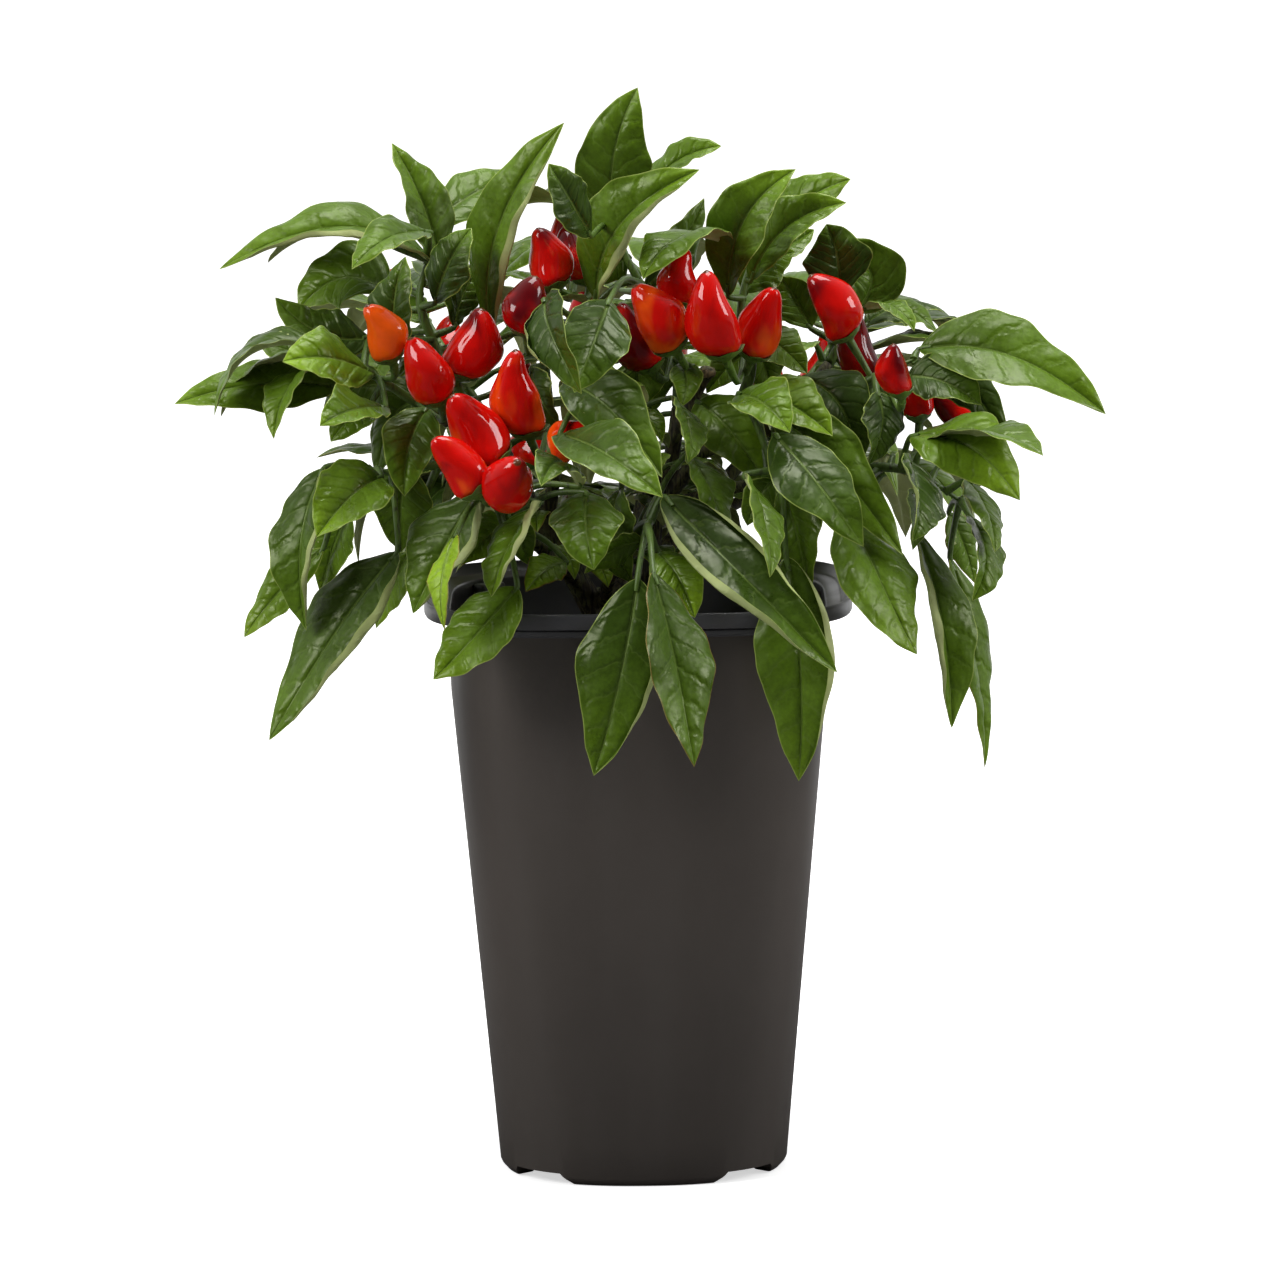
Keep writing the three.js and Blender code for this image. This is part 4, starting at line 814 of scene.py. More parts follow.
# %% Fruits: leafy stem, base, tip, width and ripeness
FRUITS = [
    ("left_top", -100, 335, 12, -95, 358, 14, 15, 0.45),
    ("left_out", -96, 320, -52, -105, 340, -58, 17, 1),
    ("left_out", -77, 303, -56, -88, 327, -62, 18, 0.5),
    ("centre_left", -70, 314, -38, -60, 339, -42, 22, 0.45),
    ("centre_left", -24, 358, 18, -26, 384, 20, 15, 0.1),
    ("centre_left", -32, 348, -28, -38, 371, -28, 18, 0.3),
    ("centre_left", -19, 352, 0, -28, 373, 2, 15, 0.1),
    ("centre_left", -42, 330, -44, -39, 351, -50, 20, 0.15),
    ("centre_left", -42, 290, -56, -47, 322, -62, 20, 0.62),
    ("front_left", -55, 279, -70, -72, 304, -76, 21, 0.5),
    ("front_left", -62, 266, -92, -79, 287, -92, 17, 0.5),
    ("front_left", -49, 266, -82, -46, 277, -106, 21, 0.5),
    ("front_high", -32, 281, -64, -17, 291, -70, 15, 0.65),
    ("middle", 15, 323, -46, 0, 347, -52, 20, 0.72),
    ("middle", 6, 316, -28, -6, 341, -32, 17, 0.2),
    ("middle", 17, 341, -32, 20, 362, -36, 16, 0.4),
    ("right", 35, 320, -54, 28, 352, -60, 20, 0.4),
    ("right", 46, 320, -34, 55, 346, -40, 18, 0.68),
    ("right_out", 83, 328, -28, 69, 351, -34, 19, 0.35),
    ("right_top", 92, 310, -6, 87, 338, -8, 16, 0.05),
    ("right_out", 104, 304, -50, 101, 323, -54, 13, 0.15),
    ("right_far", 112, 296, -12, 110, 311, -14, 14, 0.45),
    ("right_far", 136, 291, -6, 118, 304, -10, 13, 0.2),
    ("left_back", -70, 318, 84, -76, 342, 92, 19, 0.5),
    ("left_back", -50, 300, 66, -46, 326, 78, 18, 0.4),
    ("back", 10, 318, 92, 16, 344, 100, 20, 0.6),
    ("back", -14, 330, 98, -22, 352, 108, 18, 0.2),
    ("back_low_left", -44, 278, 104, -40, 302, 116, 20, 0.5),
    ("right_back", 72, 308, 78, 78, 334, 88, 19, 0.5),
    ("right_back", 52, 304, 64, 46, 330, 74, 17, 0.65),
    ("back_low_right", 70, 280, 106, 64, 304, 116, 20, 0.45),
]

# %% [markdown]
# ## Growing rules
# These rules are those of the solids too: how a place is turned into a point, how a leaf is folded,
# curled and waved, and how a leaf that would touch something slides or turns aside. The draws are seeded,
# so the same plant grows each time.

# %% Places and seeded draws
LOOK_DOWN = math.radians(8.5)  # how far down the view of the tables looks, a little more than the camera
GAP = 0.3
CUT_END_MARGIN = 4
SHOOT_START_SHARE = 0.97
NEARLY_UPRIGHT = 0.9
LEAF_SEED = 7


def seen(across, up, depth):
    return np.array([across, depth, (up - math.sin(LOOK_DOWN) * depth) / math.cos(LOOK_DOWN)])


def places_of(row):
    return np.array([seen(*entry[:3]) for entry in row])


def radii_of(row):
    return np.array([entry[3] for entry in row], float)


def draws_from(seed):
    """A source of draws between 0 and 1."""
    state = seed

    def draw():
        nonlocal state
        state = state * 16807 % 2147483647
        return state / 2147483647

    return draw


def between(low, high, share):
    return low + (high - low) * share


def unit(vector):
    return vector / np.linalg.norm(vector, axis=-1, keepdims=True)


def axes_across(along):
    """Two directions square to a line and to each other."""
    guide = np.array([1.0, 0, 0]) if abs(along[2]) > NEARLY_UPRIGHT else np.array([0, 0, 1.0])
    first = unit(guide - along * np.dot(guide, along))
    return first, np.cross(along, first)


def point_at(places, steps):
    """The point that lies this many steps along a line of places."""
    start = min(int(steps), len(places) - 2)
    return places[start] + (places[start + 1] - places[start]) * (steps - start)


# %% Leafy stem lines
def shoot_line(name):
    """The line of a leafy stem, which goes on where its limb ends, in the same direction."""
    limb = places_of(LIMBS[name])
    direction = unit(limb[-1] - limb[-2])
    places = np.vstack([limb[-1] + direction * GAP, places_of(SHOOTS[name])])
    radii = np.r_[radii_of(LIMBS[name])[-1] * SHOOT_START_SHARE, radii_of(SHOOTS[name])]
    return {"direction": direction, "places": places, "radii": radii}


def nearest_on(line, point):
    best_place, best_distance = None, None
    for k in range(len(line["places"]) - 1):
        start = line["places"][k] + (line["direction"] * CUT_END_MARGIN if k == 0 else 0)
        span = line["places"][k + 1] - start
        share = np.clip(np.dot(point - start, span) / np.dot(span, span), 0, 1)
        place = start + span * share
        distance = np.linalg.norm(place - point)
        if best_distance is None or distance < best_distance:
            best_place, best_distance = place, distance
    return best_place


# %% Blades
WIDEST_AT = 0.42
ROOT_POWER = 0.78
TIP_POWER = 0.9
FOLD_DEGREES = (10, 26)
CURL = (0.1, 0.34)
WAVE = (0.03, 0.07)
TWIST_DEGREES = (-24, 24)
WAVE_TURNS = 7
WAVE_OFFSET = 1.3
STRAIGHT_RIB = 0.02
FOLD_ALLOWANCE = 1.1
LOOKS = {
    "F": (0, -1, 0),
    "B": (0, 1, 0),
    "U": (0, 0, 1),
    "D": (0, 0, -1),
    "L": (-1, 0, 0),
    "R": (1, 0, 0),
}


def habit(draw):
    return {
        "fold": math.radians(between(*FOLD_DEGREES, draw())),
        "curl": between(*CURL, draw()),
        "wave": between(*WAVE, draw()),
        "phase": 2 * math.pi * draw(),
        "twist": math.radians(between(*TWIST_DEGREES, draw())),
    }


def midrib(leaf, t):
    """Places and directions on the arc through root, middle and tip."""
    t = np.asarray(t, float)[..., None]
    bend = 2 * leaf["middle"] - 0.5 * leaf["root"] - 0.5 * leaf["tip"]
    place = leaf["root"] * (1 - t) ** 2 + bend * (2 * t * (1 - t)) + leaf["tip"] * t**2
    return place, unit((bend - leaf["root"]) * (1 - t) + (leaf["tip"] - bend) * t)


def with_frame(leaf):
    along = midrib(leaf, 0.5)[1]
    plane = np.cross(midrib(leaf, 0.0)[1], midrib(leaf, 1.0)[1])
    if np.linalg.norm(plane) < STRAIGHT_RIB:
        plane = np.cross(along, leaf["face"])
    leaf["plane"] = unit(plane)
    level = np.cross(leaf["plane"], along)
    leaf["lean"] = math.atan2(np.dot(leaf["face"], leaf["plane"]), np.dot(leaf["face"], level))
    return leaf


def outline(t):
    return (t / WIDEST_AT) ** ROOT_POWER * ((1 - t) / (1 - WIDEST_AT)) ** TIP_POWER


def blade_frame(leaf, t):
    place, along = midrib(leaf, t)
    lean = (leaf["lean"] + leaf["twist"] * (t - 0.5))[..., None]
    normal = np.cross(leaf["plane"], along) * np.cos(lean) + leaf["plane"] * np.sin(lean)
    return place, normal, np.cross(along, normal)


def ripple_of(leaf, t, side):
    wave_place = WAVE_TURNS * t + leaf["phase"] + np.where(side > 0, WAVE_OFFSET, 0)
    return leaf["wave"] * leaf["width"] * np.abs(side) * np.sin(wave_place) * outline(t)


def blade_points(leaf, t, side):
    place, normal, across = blade_frame(leaf, t)
    half = 0.5 * leaf["width"] * outline(t)
    out = np.abs(side)
    lift = half * (out * math.sin(leaf["fold"]) - out**2 * leaf["curl"]) + ripple_of(leaf, t, side)
    return place + across * (side * half * math.cos(leaf["fold"]))[..., None] + normal * lift[..., None]


# %% Stalks
SHORT_STALK = 15
STALK_BOW_AT = 0.55
STALK_BOW_RISE = 0.1


def stalk_places(leaf, line):
    foot = nearest_on(line, leaf["root"])
    length = np.linalg.norm(foot - leaf["root"])
    if length < SHORT_STALK:
        return np.array([foot, leaf["root"]])
    middle = foot + (leaf["root"] - foot) * STALK_BOW_AT + np.array([0, 0, STALK_BOW_RISE * length])
    return np.array([foot, middle, leaf["root"]])


# %% [markdown]
# Room is kept as small balls that each thing takes up. A leaf tries its ways in turn and stays at the
# first that touches nothing of its neighbours.

# %% Room
POT_HEIGHT = 233
RIM_HALF = 85
SHY_POT_POWER = 5
SHY_RADIUS = 2.8
STALK_SHY_RADIUS = 1.9
STALK_SAMPLES = 5
SHY_ROWS = 9
SHY_START = 0.03
SHY_COLUMNS = (-0.9, -0.45, 0, 0.45, 0.9)
SHY_POT = 0.5
SAMPLE_STEP = 5
OTHERS_COUNT = 1000
MOST_BALLS = 20000

ball_places = np.zeros((MOST_BALLS, 3))
ball_radii = np.zeros(MOST_BALLS)
ball_owners = np.full(MOST_BALLS, -1)
ball_woody = np.zeros(MOST_BALLS, bool)
owners = {}
balls = 0


def take(owner, places, radii, woody=False):
    global balls
    count = len(places)
    ball_places[balls : balls + count] = places
    ball_radii[balls : balls + count] = radii
    ball_owners[balls : balls + count] = owners.setdefault(owner, len(owners))
    ball_woody[balls : balls + count] = woody
    balls += count


def take_line(owner, places, radii):
    for k in range(len(places) - 1):
        steps = max(1, math.ceil(np.linalg.norm(places[k + 1] - places[k]) / SAMPLE_STEP))
        share = np.arange(steps + 1)[:, None] / steps
        at = places[k] + (places[k + 1] - places[k]) * share
        take(owner, at, between(radii[k], radii[k + 1], share[:, 0]), woody=True)


def leaf_samples(leaf, line):
    rows = np.minimum(SHY_START + (1 - SHY_START) * np.arange(SHY_ROWS) / (SHY_ROWS - 1), 1)
    t, side = np.meshgrid(rows, SHY_COLUMNS, indexing="ij")
    blade = blade_points(leaf, t, side).reshape(-1, 3)
    stalk = stalk_places(leaf, line)
    shares = np.arange(STALK_SAMPLES)[:, None] / STALK_SAMPLES
    stalk_balls = np.vstack([a + (b - a) * shares for a, b in zip(stalk, stalk[1:])])
    radii = np.r_[np.full(len(blade), SHY_RADIUS), np.full(len(stalk_balls), STALK_SHY_RADIUS)]
    return np.vstack([blade, stalk_balls]), radii


def crowding(owner, places, radii):
    """Touches counted: those of the pot and of other stems' things weigh a thousand times more."""
    reach = (RIM_HALF + radii + SHY_POT)[:, None]
    inside = (np.abs(places[:, :2] / reach) ** SHY_POT_POWER).sum(axis=1) < 1
    in_pot = inside & (places[:, 2] < POT_HEIGHT + radii + SHY_POT)
    count = OTHERS_COUNT * int(in_pot.sum())
    margin = radii.max() + ball_radii[:balls].max()
    close = np.all(ball_places[:balls] > places.min(axis=0) - margin, axis=1)
    close &= np.all(ball_places[:balls] < places.max(axis=0) + margin, axis=1)
    own = ball_owners[:balls] == owners[owner]
    near = np.flatnonzero(close & ~(own & ball_woody[:balls]))
    if len(near) == 0:
        return count
    apart = places[:, None, :] - ball_places[near][None, :, :]
    room = radii[:, None] + ball_radii[near][None, :]
    touching = (apart**2).sum(axis=2) < room**2
    weights = np.where(own[near], 1, OTHERS_COUNT)
    return count + int((touching * weights[None, :]).sum())


def settle(owner, line, ways, most=OTHERS_COUNT):
    best = None
    for way in ways:
        leaf = way()
        places, radii = leaf_samples(leaf, line)
        count = crowding(owner, places, radii)
        if best is None or count < best[3]:
            best = (leaf, places, radii, count)
        if count < 2:
            break
    if best[3] >= most:
        return None
    take(owner, best[1], best[2])
    return best[0]


# %% Ways that a leaf may lie
DEPTH_SHIFTS = (0, 5, -5, 10, -10, 16, -16, 22, -22, 29, -29, 36, -36, 44, -44)
ROOT_SLIDE = 0.5
MIDDLE_SLIDE = 0.8
GROWN_LENGTH = (58, 78)
GROWN_WIDTH_SHARE = 0.42
GROWN_STALK = (12, 20)
STALK_OUT = 0.8
STALK_UP = 0.6
GOLDEN_ANGLE = math.radians(137.508)
FIRST_LEAF = 0.7
MIDDLE_REACH = 0.48
ARCH = (0.16, -0.14)
REACH = (0.9, 0.585)
TIP_RISE = (0.1, -0.75)
FACE_OUTWARDS = 0.35
DROOP = (0.15, 0.75)
SPREAD_SHARE = 0.72
TURN_SWINGS = (0, 14, -14, 28, -28, 42, -42, 58, -58, 76, -76, 96, -96)
DROOP_SWINGS = (0, 0.25, -0.25, 0.5)


def shown_leaf(row, own, shift):
    """A leaf that shows from the front slides only towards or away from the eye."""
    rx, ru, rd, mx, mu, md, tx, tu, td, width, letters = row[:11]
    leaf = {
        "root": seen(rx, ru, rd + ROOT_SLIDE * shift),
        "middle": seen(mx, mu, md + MIDDLE_SLIDE * shift),
        "tip": seen(tx, tu, td + shift),
        "width": FOLD_ALLOWANCE * width,
        "face": np.sum([LOOKS[letter] for letter in letters], axis=0).astype(float),
    }
    return with_frame({**leaf, **own})


def grown_leaf(foot, turn, droop, length, stalk, own):
    """A leaf that leaves its stem outwards, arches over and droops."""
    out = np.array([math.cos(turn), math.sin(turn), 0])
    root = foot + out * STALK_OUT * stalk + np.array([0, 0, STALK_UP * stalk])
    middle_rise = length * between(*ARCH, droop)
    tip_rise = length * between(*TIP_RISE, droop)
    leaf = {
        "root": root,
        "middle": root + out * MIDDLE_REACH * length + np.array([0, 0, middle_rise]),
        "tip": root + out * length * between(*REACH, droop) + np.array([0, 0, tip_rise]),
        "width": GROWN_WIDTH_SHARE * length,
        "face": out * FACE_OUTWARDS + np.array([0, 0, 1]),
    }
    return with_frame({**leaf, **own})


def shown_ways(row, own):
    return [lambda shift=shift: shown_leaf(row, own, shift) for shift in DEPTH_SHIFTS]


def grown_ways(foot, turn, droops, swings, length, stalk, own):
    """Each droop is tried with each turn aside, which is in degrees."""
    return [
        lambda droop=droop, swing=swing: grown_leaf(
            foot, turn + math.radians(swing), droop, length, stalk, own
        )
        for droop in droops
        for swing in swings
    ]


def grow_leaves(name, line, count, draw):
    """Full leaves up a stem, each a golden angle further round it than the one before."""
    leaves = []
    places = line["places"]
    outward = math.atan2(places[-1][1], places[-1][0])
    for k in range(count):
        foot = point_at(places, (k + FIRST_LEAF) / count * (len(places) - 1))
        turn = outward + SPREAD_SHARE * ((k * GOLDEN_ANGLE) % (2 * math.pi) - math.pi)
        length = between(*GROWN_LENGTH, draw())
        stalk = between(*GROWN_STALK, draw())
        droop = between(*DROOP, draw())
        droops = [min(max(droop + sag, 0), 1) for sag in DROOP_SWINGS]
        ways = grown_ways(foot, turn, droops, TURN_SWINGS, length, stalk, habit(draw))
        leaf = None if k in BARE_PLACES.get(name, ()) else settle(name, line, ways)
        if leaf:
            leaves.append(leaf)
    return leaves


# %% Fruits and the stalks that carry them
FRUIT_ROOM = ((0.1, 0.86), (0.3, 1), (0.5, 0.94), (0.7, 0.78), (0.9, 0.45))
FRUIT_ROOM_MARGIN = 0.4
CALYX_HEIGHT = 3
CALYX_SHARE = 0.6
PEDICEL_RADIUS = 1.1
PEDICEL_FLARE = 1.5
PEDICEL_BOW = 0.35
PEDICEL_BOW_BACK = 0.3


def fruit_axis(row):
    base, tip = seen(*row[1:4]), seen(*row[4:7])
    length = np.linalg.norm(tip - base)
    return {"base": base, "along": (tip - base) / length, "length": length, "radius": row[7] / 2}


def pedicel(fruit, line):
    under = fruit["base"] - fruit["along"] * GAP
    low = under - fruit["along"] * CALYX_HEIGHT
    foot = nearest_on(line, low)
    bow = low - fruit["along"] * PEDICEL_BOW * np.linalg.norm(foot - low)
    bow = bow + (foot - bow) * PEDICEL_BOW_BACK
    radii = np.array([PEDICEL_RADIUS, PEDICEL_RADIUS, PEDICEL_FLARE, CALYX_SHARE * fruit["radius"]])
    return np.array([foot, bow, low, under]), radii


# %% Stems and fruits take their room
for row in [*LIMBS.values(), *STUBS]:
    take_line("stems", places_of(row), radii_of(row))
lines = {name: shoot_line(name) for name in SHOOTS}
for name, line in lines.items():
    take_line(name, line["places"], line["radii"])

fruits = []
for k, row in enumerate(FRUITS, 1):
    fruit = fruit_axis(row)
    name = f"fruit_{k:02d}"
    shares = np.array([share for share, _ in FRUIT_ROOM])[:, None]
    thick = np.array([share for _, share in FRUIT_ROOM])
    middles = fruit["base"] + fruit["along"] * shares * fruit["length"]
    take(name, middles, thick * fruit["radius"] + FRUIT_ROOM_MARGIN)
    stalk = pedicel(fruit, lines[row[0]])
    take_line(row[0], *stalk)
    fruits.append({**fruit, "name": name, "shoot": row[0], "ripeness": row[8], "stalk": stalk})
print("fruits:", len(fruits), "balls:", balls)

# %% Leaves grow
TINT_SEED = 57
YOUTH_SHOWN = 0.7
YOUTH_GROWN = 0.5


def settle_shown(name, row, draw, grid, most=OTHERS_COUNT):
    """A leaf from a row of a table, or nothing where it finds no room."""
    leaf = settle(name, lines[name], shown_ways(row, habit(draw)), most)
    curled = row[12] if len(row) > 12 else ""
    return leaf and {**leaf, "youth": YOUTH_SHOWN * row[11], "curled": curled, "grid": grid}


leaf_draw = draws_from(LEAF_SEED)
tint_draw = draws_from(TINT_SEED)
grown = {name: [] for name in SHOOTS}
for name, rows in LEAVES.items():
    for row in rows:
        leaf = settle_shown(name, row, leaf_draw, "shown")
        if leaf:
            grown[name].append(leaf)
for name, count in GROWN_LEAVES.items():
    for leaf in grow_leaves(name, lines[name], count, leaf_draw):
        grown[name].append({**leaf, "youth": YOUTH_GROWN * tint_draw(), "curled": "", "grid": "hidden"})
print("leaves:", sum(len(leaves) for leaves in grown.values()), "balls:", balls)

# %% [markdown]
# Between the grown leaves a chilli is full of small young ones. They sprout at the forks, on leafy and on
# woody stems alike, and fill the middle of the bush. They are too small for the solids, and only grow
# here, where there is still room for them: first a few that the photograph shows, then a drawn lot.

# %% Young leaves
YOUNG_SEED = 31
YOUNG_LENGTH = (20, 44)
YOUNG_STALK = (4, 10)
YOUNG_YOUTH = (0.15, 0.75)
YOUNG_ON_LEAFY = 7
YOUNG_IN_TUFTS = {
    "right": 18, "middle": 14, "front_high": 12, "centre_left": 12, "right_top": 10, "left_out": 10,
}
YOUNG_ON_WOODY = 6
YOUNG_CROWDING = 4
YOUNG_TURNS = (0, 60, -60, 120, -120, 180)
YOUNG_SAG = (0, 0.5)
YOUNG_REACH = (0.25, 0.98)  # shares of the stem between which they grow
SMALL_CROWDING = 40
SMALL_LEAVES = {  # written as the leaves that show
    "right": [
        (50, 328, -6, 58, 324, -12, 68, 313, -14, 18, "UF", 0.5),
        (52, 362, 2, 62, 366, 0, 72, 372, -2, 14, "FU", 0.5),
        (44, 322, -14, 36, 316, -24, 28, 306, -28, 14, "UF", 0.7),
        (48, 324, -12, 52, 316, -24, 54, 304, -30, 15, "UF", 0.8),
    ],
    "middle": [
        (18, 318, -12, 20, 310, -20, 18, 300, -22, 12, "F", 0.6),
        (12, 322, -12, 8, 312, -22, 6, 298, -24, 14, "F", 0.3),
        (-2, 360, -10, -9, 356, -14, -15, 349, -14, 12, "F", 0.4),
    ],
    "left_out": [(-104, 303, -30, -112, 297, -36, -120, 287, -38, 16, "UF", 0.5)],
    "left_low": [(-112, 262, -50, -120, 248, -46, -126, 228, -44, 20, "FL", 0.7)],
    "front_left": [
        (-70, 250, -84, -76, 233, -92, -75, 212, -94, 12, "FL", 1.5),
        (-50, 257, -58, -46, 248, -66, -43, 238, -66, 12, "F", 0.4),
    ],
    "right_low": [(54, 270, -60, 47, 262, -58, 43, 252, -56, 12, "F", 0.5)],
    "right_far": [
        (124, 258, -18, 130, 246, -26, 134, 230, -30, 16, "FR", 0.5),
        (110, 266, -34, 110, 256, -44, 108, 242, -48, 14, "FR", 0.3),
    ],
}


def young_leaves(owner, line, count, draw):
    leaves = []
    places = line["places"]
    for k in range(count):
        foot = point_at(places, between(*YOUNG_REACH, (k + draw()) / count) * (len(places) - 1))
        turn = 2 * math.pi * draw()
        droop = draw()
        length = between(*YOUNG_LENGTH, draw())
        stalk = between(*YOUNG_STALK, draw())
        droops = [abs(droop - sag) for sag in YOUNG_SAG]
        ways = grown_ways(foot, turn, droops, YOUNG_TURNS, length, stalk, habit(draw))
        leaf = settle(owner, line, ways, most=YOUNG_CROWDING)
        if leaf:
            youth = between(*YOUNG_YOUTH, draw())
            leaves.append({**leaf, "youth": youth, "curled": "", "grid": "young"})
    return leaves


young_draw = draws_from(YOUNG_SEED)
for name, rows in SMALL_LEAVES.items():
    for row in rows:
        leaf = settle_shown(name, row, young_draw, "young", SMALL_CROWDING)
        if leaf:
            grown[name].append(leaf)
        else:
            print("no room for a small leaf on", name)
for name, line in lines.items():
    grown[name] += young_leaves(name, line, YOUNG_IN_TUFTS.get(name, YOUNG_ON_LEAFY), young_draw)
inner_leaves = []
for row in LIMBS.values():
    places = places_of(row)
    limb = {"direction": unit(places[1] - places[0]), "places": places}
    for leaf in young_leaves("stems", limb, YOUNG_ON_WOODY, young_draw):
        inner_leaves.append((leaf, limb))
young = sum(leaf["grid"] == "young" for leaves in grown.values() for leaf in leaves)
print("young leaves:", young, "on woody stems:", len(inner_leaves))

# %% [markdown]
# ## Leaves
# A leaf is not a flat card. Between its side veins the blade puffs up like a quilt, its midrib is a
# groove above and a ridge below, its edge waves, and on many leaves one edge curls over and shows the
# pale underside. The blade is a grid of points in those two senses, root to tip and edge to edge, with
# all of this worked into the grid, so that the shape is there from every side.

# %% Blade grids
GRIDS = {  # rows, and columns from the midrib to one edge
    "shown": (44, (0, 0.03, 0.07, 0.14, 0.24, 0.35, 0.46, 0.56, 0.65, 0.73, 0.78, 0.83, 0.88, 0.94, 1)),
    "hidden": (28, (0, 0.06, 0.16, 0.33, 0.52, 0.68, 0.77, 0.88, 1)),
    "young": (16, (0, 0.09, 0.25, 0.47, 0.7, 0.86, 1)),
}


def grid_faces(rows, columns):
    """Faces of a closed blade: point 0 is its root, 1 its tip, then come the upper and the under rows."""

    def at(k, j, under):
        if k == 0:
            return 0
        if k == rows - 1:
            return 1
        return 2 + ((k - 1) + under * (rows - 2)) * columns + j

    faces, finishes = [], []
    for k in range(rows - 1):
        for j in range(columns - 1):
            corners = [(k, j), (k, j + 1), (k + 1, j + 1), (k + 1, j)]
            faces.append([at(a, b, 0) for a, b in corners])
            faces.append([at(a, b, 1) for a, b in reversed(corners)])
            finishes += [0, 1]
        for j, ends in ((columns - 1, (k, k + 1)), (0, (k + 1, k))):
            faces.append([at(ends[0], j, 0), at(ends[0], j, 1), at(ends[1], j, 1), at(ends[1], j, 0)])
            finishes.append(1)
    return [tuple(dict.fromkeys(face)) for face in faces], finishes


shown_rows, shown_columns = GRIDS["shown"]
print("faces of a leaf that shows:", len(grid_faces(shown_rows, 2 * len(shown_columns) - 1)[0]))

# %% [markdown]
# No two chilli leaves have the same outline, nor the same two halves. The blade's half width is therefore
# a smooth arc with small drawn changes: waves, lobes at the veins, a shoulder that sits higher on one
# side, and a drip tip. In the sines below, the plain numbers only say how fast each wave runs.

# %% Uneven outline
VEIN_PAIRS = 6.5
VEIN_SLANT = 0.75
UNEVEN_EDGE = 0.04
EDGE_LOBES = 0.02
LOBE_SHIFT = 0.15
LOBE_MIDDLE = 0.6
HUMP_LENGTH = 0.5
TAPER = 0.13
TAPER_FROM = 0.5
SHOULDER = 0.07
SHOULDER_FROM = 0.15
SHOULDER_SKEW = 0.1
DRIP_TIP = 0.3
DRIP_TIP_FROM = 0.88
DRIP_TIP_LENGTH = 0.12


def hump(t, start, shift=0):
    """A smooth rise and fall along the leaf, from nothing back to nothing."""
    return np.sin(math.pi * np.clip((t - start - shift) / HUMP_LENGTH, 0, 1))


def uneven_half(leaf, t, side, length, turns):
    """Half the blade's width in mm, with all the small changes that make it uneven."""
    right = side > 0
    swell = np.sin(11 * t + turns[0] + 2 * right) + 0.5 * np.sin(23 * t + turns[4] + 5 * right)
    edge_count = VEIN_PAIRS * (t - 0.5 * VEIN_SLANT * leaf["width"] / length) + 0.5 * right
    lobe_place = edge_count - 0.5 + LOBE_SHIFT * np.sin(turns[1])
    lobes = np.abs(np.sin(math.pi * lobe_place)) - LOBE_MIDDLE
    skew = np.where(right, np.sin(turns[2]), -np.sin(turns[2]))
    shape = 1 + (UNEVEN_EDGE * swell + EDGE_LOBES * lobes) * np.sin(math.pi * t)
    shape = shape - TAPER * hump(t, TAPER_FROM)
    shape = shape + SHOULDER * hump(t, SHOULDER_FROM, SHOULDER_SKEW * skew)
    shape = shape - DRIP_TIP * np.clip((t - DRIP_TIP_FROM) / DRIP_TIP_LENGTH, 0, 1)
    return 0.5 * leaf["width"] * outline(t) * shape


# %% Curled edges
SOFT_FOLD = 0.07
CURL_START = 0.73
CURL_END = 0.86
CURLED_DEGREES = (140, 165)
PLAIN_CURL_DEGREES = (-14, 26)
LEAST_CURL = 0.02
CURL_LEAN = 0.8
CURL_FULLNESS = 0.45
NO_WIDTH = 1e-4


def edge_angles(leaf, toward, draw):
    """How far each edge curls: right over on the sides that the table names, elsewhere a little."""
    angles = []
    for way in (-1, 1):
        named = any(way * np.dot(toward, LOOKS[letter]) > 0 for letter in leaf["curled"])
        degrees = between(*(CURLED_DEGREES if named else PLAIN_CURL_DEGREES), draw())
        angles.append(math.radians(degrees))
    return angles


def curled_section(leaf, t, side, half, angles):
    """How far across and how high each point lies, with the edges curled by an angle for each side."""
    sine, cosine = math.sin(leaf["fold"]), math.cos(leaf["fold"])
    out = np.sqrt(side**2 + SOFT_FOLD**2) - SOFT_FOLD
    lateral = side * half * cosine
    lift = half * (out * sine - out**2 * leaf["curl"])
    start_lift = half * (CURL_START * sine - CURL_START**2 * leaf["curl"])
    slope = math.atan2(sine - 2 * CURL_START * leaf["curl"], cosine)
    along_edge = np.maximum(np.sin(math.pi * t**CURL_LEAN), 0) ** CURL_FULLNESS
    for way, angle in zip((-1, 1), angles):
        most = angle * along_edge
        most = np.where(np.abs(most) < LEAST_CURL, LEAST_CURL, most)
        radius = (CURL_END - CURL_START) * np.maximum(half, NO_WIDTH) / most
        turn = most * np.clip((side * way - CURL_START) / (CURL_END - CURL_START), 0, 1)
        flap = np.maximum(side * way - CURL_END, 0) * half
        past = side * way > CURL_START
        swept = CURL_START * half * cosine + radius * (np.sin(slope + turn) - math.sin(slope))
        risen = start_lift + radius * (math.cos(slope) - np.cos(slope + turn))
        lateral = np.where(past, way * (swept + flap * np.cos(slope + turn)), lateral)
        lift = np.where(past, risen + flap * np.sin(slope + turn), lift)
    return lateral, lift


# %% Quilt and thickness
QUILT_DEPTH = 0.72
QUILT_CHANGE = 0.55
PANEL_FULLNESS = 0.6
FRILL_DEPTH = 0.55
BLADE_THICK = 0.34
EDGE_THINNING = 0.6
RIB_THICK = 0.9
RIB_HALF = 0.9
RIB_TAPER = 0.8
RIB_FULL_FROM = 3  # mm of half width, below which the rib is thinner
GROOVE = 0.4
NO_LENGTH = 1e-6


